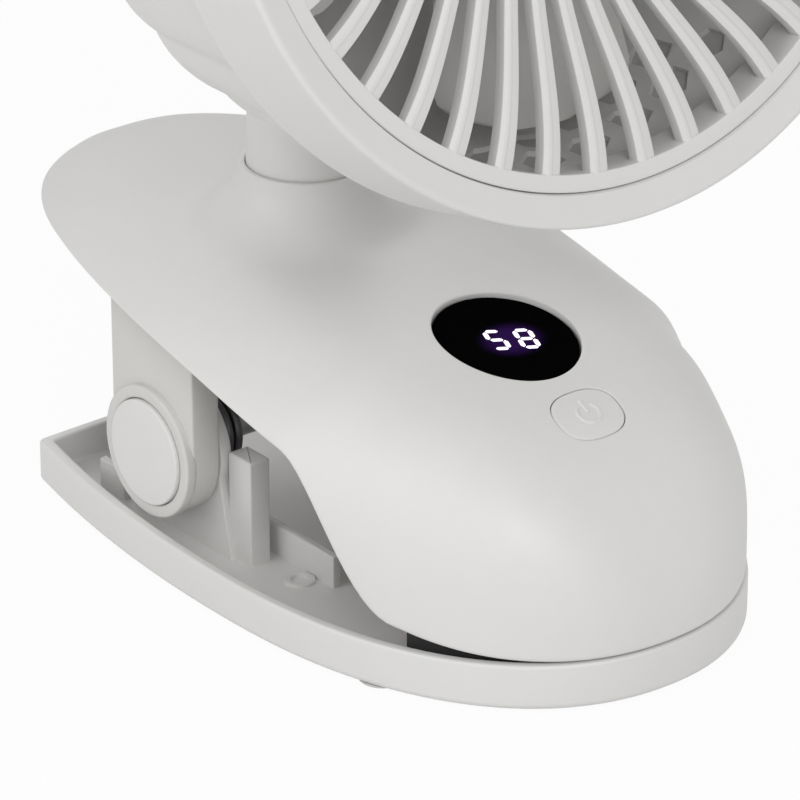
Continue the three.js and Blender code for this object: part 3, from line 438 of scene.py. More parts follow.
class Skin:
    """The points and faces of one piece, in millimetres."""

    def __init__(self):
        self.points = []
        self.faces = []
        self.flat = set()

    def ring(self, points, place=None):
        start = len(self.points)
        for point in points:
            self.points.append(tuple(place @ Vector(point) if place else point))
        return list(range(start, len(self.points)))

    def join(self, first, second):
        """Faces between two closed rings, either of which may be a single point."""
        count = max(len(first), len(second))
        for i in range(count):
            j = (i + 1) % count
            if len(first) == 1:
                self.faces.append((first[0], second[j], second[i]))
            elif len(second) == 1:
                self.faces.append((first[i], first[j], second[0]))
            else:
                self.faces.append((first[i], first[j], second[j], second[i]))

    def cap(self, ring):
        if len(ring) > 2:
            self.flat.add(len(self.faces))
            self.faces.append(tuple(ring))

    def loft(self, rings, place=None, closed=False):
        """Closed rings of points joined one to the next, with flat ends."""
        loops = [self.ring(ring, place) for ring in rings]
        for first, second in zip(loops, loops[1:]):
            self.join(first, second)
        if closed:
            self.join(loops[-1], loops[0])
        else:
            self.cap(loops[0])
            self.cap(loops[-1])

    def turn(self, profile, sides, place=None, closed=False):
        """A profile of (radius, height) turned about Z."""
        across, along = np.cos(circle(sides)), np.sin(circle(sides))
        rings = []
        for radius, height in profile:
            if radius < 1e-6:
                rings.append([(0, 0, height)])
            else:
                line = zip((radius * across).tolist(), (radius * along).tolist())
                rings.append([(x, y, height) for x, y in line])
        self.loft(rings, place, closed)

    def plate(self, outline, low, high, edge=0.3, place=None):
        """An outline raised from one height to another, with rounded edges."""
        steps = rounding(edge, (0, 30, 60, 90))
        levels = [(inset, low + rise) for inset, rise in steps]
        levels += [(inset, high - rise) for inset, rise in steps[::-1]]
        rings = [[(x, y, z) for x, y in inset_outline(outline, inset)] for inset, z in levels]
        self.loft(rings, place)

    def block(self, x, y, z, edge=0.3):
        """A rounded block between pairs of x, y and z."""
        self.plate(soften(rectangle(x, y), edge, True, 3), *z, edge)

    def tube(self, path, radius, sides=12):
        """A round wire along a line of points."""
        points = np.array(path, float)
        ahead = np.gradient(points, axis=0)
        ahead /= np.linalg.norm(ahead, axis=1)[:, None]
        side = np.cross(ahead[0], (0.3, 0.5, 0.81))
        angle = circle(sides)[:, None]
        rings = []
        for point, run in zip(points, ahead):
            side = side - run * (side @ run)
            side /= np.linalg.norm(side)
            other = np.cross(run, side)
            rings.append((point + radius * (np.cos(angle) * side + np.sin(angle) * other)).tolist())
        self.loft(rings)


def add_object(name, data):
    made = bpy.data.objects.new(name, data)
    bpy.context.scene.collection.objects.link(made)
    return made


def make_object(name, skin, place=None, sharp=32):
    """A piece's object at the origin, with its place in its mesh and its faces pointing out."""
    mesh = bpy.data.meshes.new(name)
    mesh.from_pydata(skin.points, [], skin.faces)
    for polygon in mesh.polygons:
        polygon.use_smooth = polygon.index not in skin.flat
    settle(mesh, place, sharp)
    return add_object(name, mesh)


def settle(mesh, place, sharp):
    """Turns a mesh's millimetres into metres and its faces outwards."""
    shape = bmesh.new()
    shape.from_mesh(mesh)
    bmesh.ops.remove_doubles(shape, verts=shape.verts, dist=1e-4)
    bmesh.ops.recalc_face_normals(shape, faces=shape.faces)
    shape.to_mesh(mesh)
    shape.free()
    mesh.transform(Matrix.Scale(MM, 4) @ (place or Matrix.Identity(4)))
    mesh.set_sharp_from_angle(angle=math.radians(sharp))
    mesh.update()


def draft_object(name, skin, sharp=32):
    """An object that stays in millimetres, in its own frame, until it is set in the head."""
    made = make_object(name, skin, None, sharp)
    made.data.transform(Matrix.Scale(1 / MM, 4))
    return made


def set_in_head(made, skin, sharp):
    """Adds a skin to a draft and sets both in the head, in metres."""
    more = draft_object(f"{made.name} more", skin)
    merged = bmesh.new()
    merged.from_mesh(made.data)
    merged.from_mesh(more.data)
    merged.to_mesh(made.data)
    merged.free()
    bpy.data.objects.remove(more)
    made.data.transform(Matrix.Scale(MM, 4) @ HEAD)
    made.data.set_sharp_from_angle(angle=math.radians(sharp))


def fit_out(made, body, slot, *nodes, finish=None):
    """Gives a piece its finish, the body it moves with and the solids it stands for."""
    made.data.materials.clear()
    made.data.materials.append(finish or FINISHES[slot])
    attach(made, body)
    if nodes:
        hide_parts(*nodes)


def piece(name, skin, body, slot, *nodes, place=None, sharp=32, finish=None):
    fit_out(make_object(name, skin, place, sharp), body, slot, *nodes, finish=finish)


# ---------------------------------------------------------------- node trees


def feed(tree, node, inputs):
    """Links a node's inputs to other sockets, or gives them plain values."""
    for key, value in inputs.items():
        if isinstance(value, bpy.types.NodeSocket):
            tree.links.new(value, node.inputs[key])
        else:
            node.inputs[key].default_value = value
    return node


def add_node(tree, kind, inputs=None, **settings):
    node = tree.nodes.new(kind)
    for name, value in settings.items():
        setattr(node, name, value)
    return feed(tree, node, inputs or {})


def calculation(tree, operation, first, second):
    node = add_node(tree, "ShaderNodeMath", {0: first, 1: second}, operation=operation)
    return node.outputs["Value"]


def new_tree(name, inputs):
    """A geometry tree with its input and output sockets and the nodes for them."""
    tree = bpy.data.node_groups.new(name, "GeometryNodeTree")
    for label, kind in inputs.items():
        tree.interface.new_socket(label, in_out="INPUT", socket_type=f"NodeSocket{kind}")
    tree.interface.new_socket("Result", in_out="OUTPUT", socket_type="NodeSocketGeometry")
    return tree, add_node(tree, "NodeGroupInput").outputs


def close_tree(tree, given, instances):
    """Ends a tree in real geometry with its material."""
    real = add_node(tree, "GeometryNodeRealizeInstances", {"Geometry": instances})
    paint = add_node(tree, "GeometryNodeSetMaterial", {
        "Geometry": real.outputs["Geometry"], "Material": given["Finish"]})
    add_node(tree, "NodeGroupOutput", {"Result": paint.outputs["Geometry"]})
    return tree


def copies_tree():
    """Sets copies of a shape evenly round its Z axis."""
    tree, given = new_tree("Copies round an axis", {
        "Shape": "Geometry", "Count": "Int", "Start Angle": "Float", "Finish": "Material"})
    line = add_node(tree, "GeometryNodeMeshLine", {"Offset": (0, 0, 0), "Count": given["Count"]})
    index = add_node(tree, "GeometryNodeInputIndex").outputs["Index"]
    step = calculation(tree, "DIVIDE", 2 * math.pi, given["Count"])
    swing = calculation(tree, "MULTIPLY", index, step)
    angle = calculation(tree, "ADD", swing, given["Start Angle"])
    turn = add_node(tree, "ShaderNodeCombineXYZ", {"Z": angle})
    copies = add_node(tree, "GeometryNodeInstanceOnPoints", {
        "Points": line.outputs["Mesh"], "Instance": given["Shape"], "Rotation": turn.outputs["Vector"]})
    return close_tree(tree, given, copies.outputs["Instances"])


def honeycomb_tree():
    """Sets a six-sided prism on every point, turned by the point's own angles."""
    tree, given = new_tree("Honeycomb of prisms", {
        "Seats": "Geometry", "Across": "Float", "Depth": "Float", "Finish": "Material"})
    prism = add_node(tree, "GeometryNodeMeshCylinder", {
        "Vertices": 6, "Depth": given["Depth"],
        "Radius": calculation(tree, "DIVIDE", given["Across"], math.sqrt(3))})
    angles = add_node(tree, "GeometryNodeInputNamedAttribute", {"Name": "turn"}, data_type="FLOAT_VECTOR")
    prisms = add_node(tree, "GeometryNodeInstanceOnPoints", {
        "Points": given["Seats"], "Instance": prism.outputs["Mesh"],
        "Rotation": angles.outputs["Attribute"]})
    return close_tree(tree, given, prisms.outputs["Instances"])


def grow(made, tree, **values):
    """Runs a geometry tree on an object and keeps the result as its plain mesh."""
    modifier = made.modifiers.new("Grow", "NODES")
    modifier.node_group = tree
    for socket in tree.interface.items_tree:
        key = socket.name.lower().replace(" ", "_")
        if socket.in_out == "INPUT" and key in values:
            modifier[socket.identifier] = values[key]
    keep_result(made)


def keep_result(made):
    """Replaces an object's mesh by what its modifiers make of it."""
    bpy.context.view_layer.update()
    seen = made.evaluated_get(bpy.context.evaluated_depsgraph_get())
    grown = bpy.data.meshes.new_from_object(seen)
    made.modifiers.clear()
    old = made.data
    made.data = grown
    grown.name = made.name
    bpy.data.meshes.remove(old)


COPIES = copies_tree()
HONEYCOMB = honeycomb_tree()

# ---------------------------------------------------------------- finishes


def new_surface(name, **inputs):
    """A shader group from a colour and the roughness range to colour, roughness and height."""
    group = bpy.data.node_groups.new(name, "ShaderNodeTree")
    colour = group.interface.new_socket("Colour", in_out="INPUT", socket_type="NodeSocketColor")
    colour.default_value = (0.5, 0.5, 0.5, 1)
    for label, value in inputs.items():
        label = label.replace("_", " ").title()
        socket = group.interface.new_socket(label, in_out="INPUT", socket_type="NodeSocketFloat")
        socket.default_value = value
    for label, kind in (("Colour", "Color"), ("Roughness", "Float"), ("Height", "Float")):
        group.interface.new_socket(label, in_out="OUTPUT", socket_type=f"NodeSocket{kind}")
    return group, add_node(group, "NodeGroupInput").outputs


def close_surface(group, given, tone, sheen, height):
    """Ends a surface: its tone on the colour, its sheen within the roughness range."""
    tint = add_node(group, "ShaderNodeVectorMath", {0: given["Colour"], "Scale": tone}, operation="SCALE")
    gloss = spread(group, sheen, given["Gloss Low"], given["Gloss High"])
    add_node(group, "NodeGroupOutput", {
        "Colour": tint.outputs["Vector"], "Roughness": gloss, "Height": height})
    return group


def object_place(tree):
    return add_node(tree, "ShaderNodeTexCoord").outputs["Object"]


def noise(tree, vector, scale, detail):
    node = add_node(tree, "ShaderNodeTexNoise", {"Vector": vector, "Scale": scale, "Detail": detail})
    return node.outputs["Fac"]


def spread(tree, value, low, high):
    """Maps a 0 to 1 value to a range."""
    node = add_node(tree, "ShaderNodeMapRange", {"Value": value, "To Min": low, "To Max": high})
    return node.outputs["Result"]


def moulded_surface():
    """Fine texture, slow tone drift and faint flow marks of moulded plastic or rubber."""
    group, given = new_surface(
        "Moulded surface", tone_drift=0.02, grain_size=2500.0, gloss_low=0.4, gloss_high=0.5)
    place = object_place(group)
    drift = noise(group, place, 38.0, 4.0)
    mottle = noise(group, place, 260.0, 3.0)
    grain = noise(group, place, given["Grain Size"], 2.0)
    both = calculation(group, "MULTIPLY", calculation(group, "ADD", drift, mottle), 0.5)
    low = calculation(group, "SUBTRACT", 1.0, given["Tone Drift"])
    high = calculation(group, "ADD", 1.0, given["Tone Drift"])
    height = calculation(group, "ADD", calculation(group, "MULTIPLY", mottle, 0.3), grain)
    return close_surface(group, given, spread(group, both, low, high), mottle, height)


def drawn_metal():
    """Fine drawing lines and tone of bent wire, pins and screws."""
    group, given = new_surface("Drawn metal", gloss_low=0.22, gloss_high=0.4)
    place = object_place(group)
    stretch = add_node(group, "ShaderNodeMapping", {"Vector": place, "Scale": (0.12, 1.0, 1.0)})
    lines = noise(group, stretch.outputs["Vector"], 3800.0, 4.0)
    cloud = noise(group, place, 420.0, 2.0)
    return close_surface(group, given, spread(group, cloud, 0.85, 1.12), lines, lines)


def new_material(name):
    material = bpy.data.materials.new(name)
    material.use_nodes = True
    return material, material.node_tree, material.node_tree.nodes["Principled BSDF"]


def surfaced(name, group, colour, bump, bump_size=0.00004, **values):
    """A material whose surface comes from one of the shared groups."""
    material, tree, shader = new_material(name)
    inputs = {label.replace("_", " ").title(): value for label, value in values.items()}
    surface = add_node(tree, "ShaderNodeGroup", {"Colour": (*colour, 1), **inputs}, node_tree=group)
    relief = add_node(tree, "ShaderNodeBump", {
        "Strength": bump, "Distance": bump_size, "Height": surface.outputs["Height"]})
    feed(tree, shader, {
        "Base Color": surface.outputs["Colour"], "Roughness": surface.outputs["Roughness"],
        "Normal": relief.outputs["Normal"], "Metallic": float(group == DRAWN)})
    return material


MOULDED = moulded_surface()
DRAWN = drawn_metal()

FINISHES = {
    "white_shell": surfaced("white shell", MOULDED, (0.70, 0.695, 0.685), 0.25,
                            tone_drift=0.025, gloss_low=0.42, gloss_high=0.52),
    "white_inner": surfaced("white inner", MOULDED, (0.63, 0.62, 0.605), 0.25,
                            tone_drift=0.03, gloss_low=0.5, gloss_high=0.6),
    "rubber": surfaced("soft rubber", MOULDED, (0.022, 0.022, 0.023), 0.5, 0.0001,
                       tone_drift=0.15, grain_size=1800.0, gloss_low=0.72, gloss_high=0.88),
    "dark_plastic": surfaced("dark plastic", MOULDED, (0.016, 0.016, 0.018), 0.3,
                             tone_drift=0.08, gloss_low=0.4, gloss_high=0.5),
    "cell_wrap": surfaced("cell wrap", MOULDED, (0.05, 0.16, 0.42), 0.2,
                          tone_drift=0.05, gloss_low=0.2, gloss_high=0.3),
    "board": surfaced("board", MOULDED, (0.02, 0.11, 0.05), 0.3,
                      tone_drift=0.1, gloss_low=0.3, gloss_high=0.4),
    "steel": surfaced("drawn steel", DRAWN, (0.42, 0.42, 0.43), 0.15, 0.00003),
}
PALE_RUBBER = surfaced("pale rubber", MOULDED, (0.62, 0.61, 0.6), 0.3, 0.00006,
                       tone_drift=0.03, gloss_low=0.6, gloss_high=0.7)
# finish of the grey sheet behind the side vents: painted shade where only shade shows through them
PAINTED_VENT_SHADE = surfaced("vent gauze", MOULDED, (0.5, 0.49, 0.48), 0.6, 0.0001,
                 tone_drift=0.06, grain_size=1400.0, gloss_low=0.8, gloss_high=0.9)
SPRING_STEEL = surfaced("spring steel", DRAWN, (0.16, 0.16, 0.165), 0.2, 0.00003,
                        gloss_low=0.35, gloss_high=0.5)


def mixed_colour(tree, share, first, second):
    node = add_node(tree, "ShaderNodeMix", data_type="RGBA")
    feed(tree, node, {"Factor": share, "A": (*first, 1), "B": (*second, 1)})
    return node.outputs["Result"]


def window_glass():
    """Black glass with the faint violet glow that the figures leave round them."""
    material, tree, shader = new_material("black window")
    middle = WINDOW @ Vector((*FIGURE_MIDDLE, 0))
    shift = add_node(tree, "ShaderNodeMapping", {
        "Vector": object_place(tree), "Location": tuple(-MM * c for c in middle)}, vector_type="POINT")
    squeeze = add_node(tree, "ShaderNodeVectorMath", {
        0: shift.outputs["Vector"], 1: GLOW_SQUEEZE}, operation="MULTIPLY")
    reach = add_node(tree, "ShaderNodeVectorMath", {0: squeeze.outputs["Vector"]}, operation="LENGTH")
    glow = add_node(tree, "ShaderNodeMapRange", {
        "Value": reach.outputs["Value"], "From Min": GLOW_END * MM, "From Max": GLOW_START * MM},
        interpolation_type="SMOOTHSTEP")
    feed(tree, shader, {
        "Base Color": (0.0018, 0.0018, 0.002, 1), "Roughness": 0.07, "Specular IOR Level": 0.0,
        "Emission Color": mixed_colour(tree, glow.outputs["Result"], (0, 0, 0), (0.02, 0.005, 0.055)),
        "Emission Strength": 1.0})
    return material


def lit_figures():
    """Lit segments, in patches of white and a little violet."""
    material, tree, shader = new_material("lit figures")
    patches = noise(tree, object_place(tree), 900.0, 2.0)
    feed(tree, shader, {
        "Base Color": (0.8, 0.78, 0.85, 1), "Roughness": 0.4,
        "Emission Color": mixed_colour(tree, patches, (0.86, 0.78, 1.0), (1.0, 0.98, 1.0)),
        "Emission Strength": 0.9})
    return material


# ---------------------------------------------------------------- the shell's own form


def edge_height(y):
    """Height of the shell's lower edge at y."""
    climb = np.clip((y - SHELL_NOSE_Y) / (NOTCH_YS[0] - SHELL_NOSE_Y), 0, 1)
    lip = LIP_HEIGHT + LIP_RISE * climb**2
    back = np.maximum(EDGE_LEVEL_Y - y, 0) / EDGE_FALL_LENGTH
    rear = TAIL_EDGE_HEIGHT - EDGE_FALL * back**1.5
    return lerp(lip, rear, smooth_between(y, *NOTCH_YS))


def crown_height(y):
    """Height of the shell's top along its middle at y."""
    back = np.clip((NECK_Y - y) / (NECK_Y - SHELL_NOSE_Y), 0, 1)
    full = (1 - back**CROWN_LENGTH_POWER) ** (1 / CROWN_HEIGHT_POWER)
    front = NOSE_TOP + (CROWN_TOP - NOSE_TOP) * full
    along = np.clip((y - NECK_Y) / (SHELL_TAIL_Y - NECK_Y), 0, 1)
    top = CROWN_TOP + CROWN_RISE * smooth_between(along, 0, 0.6)
    rear = edge_height(y) + (top - edge_height(y)) * np.sqrt(1 - along**8)
    return np.where(y <= NECK_Y, front, rear)


def plan_form(nose):
    """Reach and the powers of width and length, on the nose's side of the widest place or not."""
    reach = np.where(nose, SHELL_FRONT_REACH, SHELL_REAR_REACH)
    width_power = np.where(nose, NOSE_WIDTH_POWER, TAIL_POWER)
    return reach, width_power, np.where(nose, NOSE_LENGTH_POWER, TAIL_POWER)


def shell_plan(angle, inset=0.0):
    """Points of the shell's plan outline: angle 0 is +X and it turns towards the tail."""
    across, along = np.cos(angle), np.sin(angle)
    reach, width_power, length_power = plan_form(along < 0)
    x = (SHELL_HALF_WIDTH - inset) * signed_power(across, 2 / width_power)
    return x, WIDEST_Y + (reach - inset) * signed_power(along, 2 / length_power)


def shell_height(x, y):
    """Height of the shell's outer surface at x, y, without the collar."""
    reach, width_power, length_power = plan_form(y < WIDEST_Y)
    along = np.clip(np.abs(y - WIDEST_Y) / reach, 0, 1)
    width = SHELL_HALF_WIDTH * (1 - along**length_power) ** (1 / width_power)
    across = np.clip(np.abs(x) / np.maximum(width, 1e-9), 0, 1)
    behind = np.maximum(y - FULLNESS_Y, 0) / FULLNESS_LENGTH
    fullness = CROWN_FULLNESS + (NOSE_FULLNESS - CROWN_FULLNESS) * np.exp(-behind)
    fullness = fullness + CHEEK_FULLNESS * np.exp(-((y - CHEEK_Y) / CHEEK_LENGTH) ** 2)
    share = (1 - across**SECTION_POWER) ** (1 / fullness)
    return edge_height(y) + (crown_height(y) - edge_height(y)) * share


def inner_height(x, y):
    """Height of the shell's inner surface at x, y."""
    reach = plan_form(y < WIDEST_Y)[0]
    outer_x = x * SHELL_HALF_WIDTH / (SHELL_HALF_WIDTH - SHELL_WALL)
    outer_y = WIDEST_Y + (y - WIDEST_Y) * reach / (reach - SHELL_WALL)
    return shell_height(outer_x, outer_y) - SHELL_WALL


def cover_top(y):
    """Height of the underside cover's top face at y."""
    lift = COVER_LIFT * (1 - smooth_between(y, *COVER_LIFT_YS))
    return edge_height(y) - CLEARANCE + lift


def collar_curve(steps):
    """The collar's flare as radius and height, from its top out to its foot."""
    top = np.array((NECK_RADIUS + CLEARANCE + COLLAR_LIP, COLLAR_TOP))
    bend = np.array((top[0] + COLLAR_BEND[0], COLLAR_FOOT_Z + COLLAR_BEND[1]))
    foot = np.array((COLLAR_FOOT_RADIUS, COLLAR_FOOT_Z))
    return curve(top, bend, foot, np.linspace(0, 1, steps + 1)[:, None])


def blended_height(x, y, collar):
    """The higher of the shell and the collar, run smoothly into each other."""
    shell = shell_height(x, y)
    apart = np.abs(shell - collar)
    return np.maximum(shell, collar) + COLLAR_BLEND * np.log1p(np.exp(-apart / COLLAR_BLEND))


def surface_at(points, direction, height, reach=14.0, halvings=40):
    """Where lines through points along a direction meet a height field, coming from outside."""
    low = np.full(len(points), -reach)
    high = np.full(len(points), reach)
    for _ in range(halvings):
        middle = (low + high) / 2
        at = points + direction * middle[:, None]
        outside = at[:, 2] > height(at[:, 0], at[:, 1])
        high = np.where(outside, middle, high)
        low = np.where(outside, low, middle)
    return points + direction * high[:, None]


WINDOW = tilted(WINDOW_SLOPE, WINDOW_Y, float(crown_height(WINDOW_Y)) - WINDOW_SINK)
BUTTON = tilted(BUTTON_SLOPE, BUTTON_Y, float(crown_height(BUTTON_Y)))
USB = along_x(USB_Y, USB_Z) @ Matrix.Translation((0, 0, SHELL_HALF_WIDTH - 3))

# ---------------------------------------------------------------- top shell

SHELL_AROUND = 240
SHELL_LINES = 66
LINE_STEPS = 500
LINE_CROWDING = 2.5  # gathers a line's steps at its lower end
OUTSIDE, INSIDE = 1, 2  # marks of the faces that an opening may cut


def shell_rings(height, inset, count, spare):
    """Rings of a surface, evenly spaced along lines from its middle to its lower edge."""
    share = 1 - (1 - np.linspace(0, 1, LINE_STEPS)) ** LINE_CROWDING
    plan_x, plan_y = shell_plan(circle(SHELL_AROUND), inset)
    x = plan_x[:, None] * share
    y = WIDEST_Y + (plan_y[:, None] - WIDEST_Y) * share
    z = height(x, y)
    z[:, -1] = edge_height(y[:, -1])
    step = np.sqrt(np.diff(x) ** 2 + np.diff(y) ** 2 + np.diff(z) ** 2)
    length = np.concatenate([np.zeros((SHELL_AROUND, 1)), np.cumsum(step, axis=1)], axis=1)
    rings = np.zeros((count, SHELL_AROUND, 3))
    ends = np.zeros((SHELL_AROUND, 3))
    for i in range(SHELL_AROUND):
        under = np.nonzero(z[i] < edge_height(y[i]) - 1e-6)[0]
        last = length[i, under[0]] if len(under) else length[i, -1]
        at = np.linspace(0, last - spare, count + 1)[1:]
        for axis, values in enumerate((x[i], y[i], z[i])):
            rings[:, i, axis] = np.interp(at, length[i], values)
            ends[i, axis] = np.interp(last, length[i], values)
    middle = (0.0, WIDEST_Y, float(height(np.array(0.0), np.array(WIDEST_Y))))
    return middle, rings, ends


def plain_shell():
    """The shell without its openings, as a bmesh with its faces marked."""
    skin = Skin()
    middle, outer, edge = shell_rings(shell_height, 0.0, SHELL_LINES, LIP_ROUND)
    low_middle, inner, inner_edge = shell_rings(inner_height, SHELL_WALL, SHELL_LINES // 2, 0.0)
    inner_edge[:, 2] = edge_height(inner_edge[:, 1])
    inner[-1] = inner_edge
    rings = [[middle], *outer]
    outside = len(rings)
    lip_end = lerp(edge, inner_edge, 0.45)
    rings += [curve(outer[-1], edge, lip_end, t) for t in (0.25, 0.5, 0.75, 1.0)]
    inside = len(rings) + 1
    rings += [*inner[::-1], [low_middle]]
    loops = [skin.ring(np.asarray(ring).tolist()) for ring in rings]
    marks = []
    for i, (first, second) in enumerate(zip(loops, loops[1:])):
        skin.join(first, second)
        mark = OUTSIDE if i < outside - 1 else INSIDE if i >= inside else 0
        marks.extend([mark] * (len(skin.faces) - len(marks)))
    mesh = bpy.data.meshes.new("plain shell")
    mesh.from_pydata(skin.points, [], skin.faces)
    shape = bmesh.new()
    shape.from_mesh(mesh)
    bpy.data.meshes.remove(mesh)
    layer = shape.faces.layers.int.new("side")
    shape.faces.ensure_lookup_table()
    for face, mark in zip(shape.faces, marks):
        face[layer] = mark
    return shape, layer


def open_side(shape, layer, side, inside):
    """Deletes one side's faces that reach into an opening and returns the edges left bare."""
    doomed = [
        face for face in shape.faces
        if face[layer] == side and any(inside(vert.co) for vert in face.verts)
    ]
    bmesh.ops.delete(shape, geom=doomed, context="FACES")
    return {edge for edge in shape.edges if edge.is_boundary}


def line_opening(shape, layer, rings, inside_outer, inside_inner):
    """Lines an opening with rings that run from the outer surface to the inner one."""
    outer_gap = open_side(shape, layer, OUTSIDE, inside_outer)
    inner_gap = open_side(shape, layer, INSIDE, inside_inner) - outer_gap
    loops = [[shape.verts.new(point) for point in ring] for ring in rings]
    for first, second in zip(loops, loops[1:]):
        for i in range(len(first)):
            j = (i + 1) % len(first)
            shape.faces.new((first[i], first[j], second[j], second[i]))
    for gap, loop in ((outer_gap, loops[0]), (inner_gap, loops[-1])):
        rim = [shape.edges.get((loop[i], loop[(i + 1) % len(loop)])) for i in range(len(loop))]
        bmesh.ops.bridge_loops(shape, edges=list(gap) + rim)


def shell_opening(shape, layer, place, half_size, power, fillet, margin, steps):
    """A superellipse opening through the shell wall, with a rounded outer rim."""
    half_width, half_length = half_size
    direction = np.array(place.to_3x3().col[2])
    rings = []
    rim = rounding(fillet, (0, 22, 45, 67, 90))
    for offset, depth in [(margin, 0), (margin / 2, 0), *rim, (0, fillet + 0.4)]:
        outline = superellipse(half_width + offset, half_length + offset, power, steps)
        rings.append(surface_at(laid(place, outline), direction, shell_height) - direction * depth)
    outline = superellipse(half_width, half_length, power, steps)
    rings.append(surface_at(laid(place, outline), direction, inner_height))
    back = place.inverted()

    def within(spare):
        def test(point):
            local = back @ point
            across = abs(local.x / (half_width + spare)) ** power
            return across + abs(local.y / (half_length + spare)) ** power < 1 and abs(local.z) < 16
        return test

    line_opening(shape, layer, rings, within(margin + 0.5), within(0.8))


def collar_opening(shape, layer):
    """The flared collar round the neck, run smoothly into the shell."""
    angle = circle(128)
    flare = collar_curve(28)[::-1]
    top_radius = flare[-1][0]
    fall = -COLLAR_BEND[1] / (COLLAR_FOOT_RADIUS - top_radius - COLLAR_BEND[0])
    beyond = np.linspace(COLLAR_REACH, COLLAR_FOOT_RADIUS, 4)[:-1]
    line = [(r, COLLAR_FOOT_Z + fall * (r - COLLAR_FOOT_RADIUS)) for r in beyond]
    line.extend(map(tuple, flare[:-1]))
    lip = NECK_RADIUS + SEAM
    rim = soften([(top_radius, COLLAR_TOP - 1.5), (top_radius, COLLAR_TOP),
                  (lip, COLLAR_TOP), (lip, COLLAR_TOP - 3)], 0.35)
    low = float(inner_height(np.array(0.0), np.array(NECK_Y + lip)))

    def ring(radius, height, blend):
        x, y = radius * np.cos(angle), NECK_Y + radius * np.sin(angle)
        z = blended_height(x, y, height) if blend else np.full(len(angle), height)
        return np.stack([x, y, z], axis=1)

    def within(radius):
        return lambda point: math.hypot(point.x, point.y - NECK_Y) < radius

    rings = [ring(*point, True) for point in line]
    rings += [ring(*point, False) for point in [*rim[1:], (lip, low)]]
    line_opening(shape, layer, rings, within(COLLAR_REACH + 0.6), within(lip + 1.2))


def top_shell():
    shape, layer = plain_shell()
    collar_opening(shape, layer)
    window = WINDOW_HALF_WIDTH + CLEARANCE, WINDOW_HALF_LENGTH + CLEARANCE
    shell_opening(shape, layer, WINDOW, window, 2, 0.3, 1.0, 128)
    cap = BUTTON_HALF_WIDTH + SEAM, BUTTON_HALF_LENGTH + SEAM
    shell_opening(shape, layer, BUTTON, cap, BUTTON_POWER, 0.14, 0.9, 88)
    socket = USB_WIDTH / 2 + CLEARANCE, USB_HEIGHT / 2 + CLEARANCE
    shell_opening(shape, layer, USB, socket, USB_POWER, 0.25, 0.8, 56)
    mesh = bpy.data.meshes.new("shell")
    shape.to_mesh(mesh)
    shape.free()
    mesh.shade_smooth()
    settle(mesh, None, 38)
    fit_out(add_object("shell", mesh), "upper_body", "white_shell", "top_shell")


# ---------------------------------------------------------------- display, button and socket


def display():
    skin = Skin()
    outline = superellipse(WINDOW_HALF_WIDTH, WINDOW_HALF_LENGTH, 2, 128)
    skin.plate(outline, -WINDOW_THICKNESS, 0, 0.35)
    piece("window_glass", skin, "upper_body", "black_window", "display_window",
          place=WINDOW, finish=window_glass())
    figures = Skin()
    for place, figure in enumerate(FIGURES):
        seven_segments(figures, figure, (place - 0.5) * FIGURE_PITCH)
    piece("lit_figures", figures, "upper_body", "black_window", place=WINDOW, finish=lit_figures())


def seven_segments(skin, figure, shift):
    """One figure of the display, as thin lit bars with pointed ends."""
    half_size = np.array((FIGURE_WIDTH, FIGURE_HEIGHT)) / 2
    for name, ends in SEGMENTS.items():
        if name in UNLIT[figure]:
            continue
        start, end = np.array(ends) * half_size
        run = (end - start) / np.linalg.norm(end - start)
        side = np.array((-run[1], run[0])) * SEGMENT_WIDTH / 2
        start = start + run * SEGMENT_GAP * SEGMENT_WIDTH
        end = end - run * SEGMENT_GAP * SEGMENT_WIDTH
        taper = run * SEGMENT_WIDTH / 2
        bar = [start, start + taper - side, end - taper - side, end, end - taper + side,
               start + taper + side]
        outline = [
            np.array(FIGURE_MIDDLE) + (x + shift) * np.array(FIGURE_RIGHT) + y * np.array(FIGURE_UP)
            for x, y in soften(bar, 0.09, True, 3)
        ]
        skin.plate(outline, 0.0, 0.05, 0.02)


def button():
    """The rounded button cap, which follows the shell, with a raised power mark."""
    skin = Skin()
    direction = np.array(BUTTON.to_3x3().col[2])
    sides = 88
    fillet = 0.35
    crown = 0.12

    def on_top(outline, depth):
        at = surface_at(laid(BUTTON, outline), direction, shell_height)
        return (at - direction * depth).tolist()

    def level(inset, share, power, depth):
        size = (BUTTON_HALF_WIDTH - inset) * share, (BUTTON_HALF_LENGTH - inset) * share
        return on_top(superellipse(*size, power, sides), depth)

    rings = [on_top([(0, 0)], -crown)]
    for share in np.linspace(0.1, 0.9, 9):
        rings.append(level(fillet, share, lerp(2, BUTTON_POWER, share), -crown * (1 - share**2)))
    for inset, depth in rounding(fillet, (0, 18, 36, 54, 72, 90)):
        rings.append(level(inset, 1, BUTTON_POWER, depth))
    rings.append(level(0, 1, BUTTON_POWER, BUTTON_SKIRT))
    skin.loft(rings)
    ring = arc((0, 0), MARK_RADIUS, np.radians(np.linspace(125, 415, 40)))
    bar = [(0, y) for y in np.linspace(0.1, MARK_RADIUS + 0.7, 12)]
    for line in (ring, bar):
        skin.tube(on_top(line, -0.02), MARK_LINE, 8)
    piece("button_cap", skin, "button", "white_shell", "power_button")


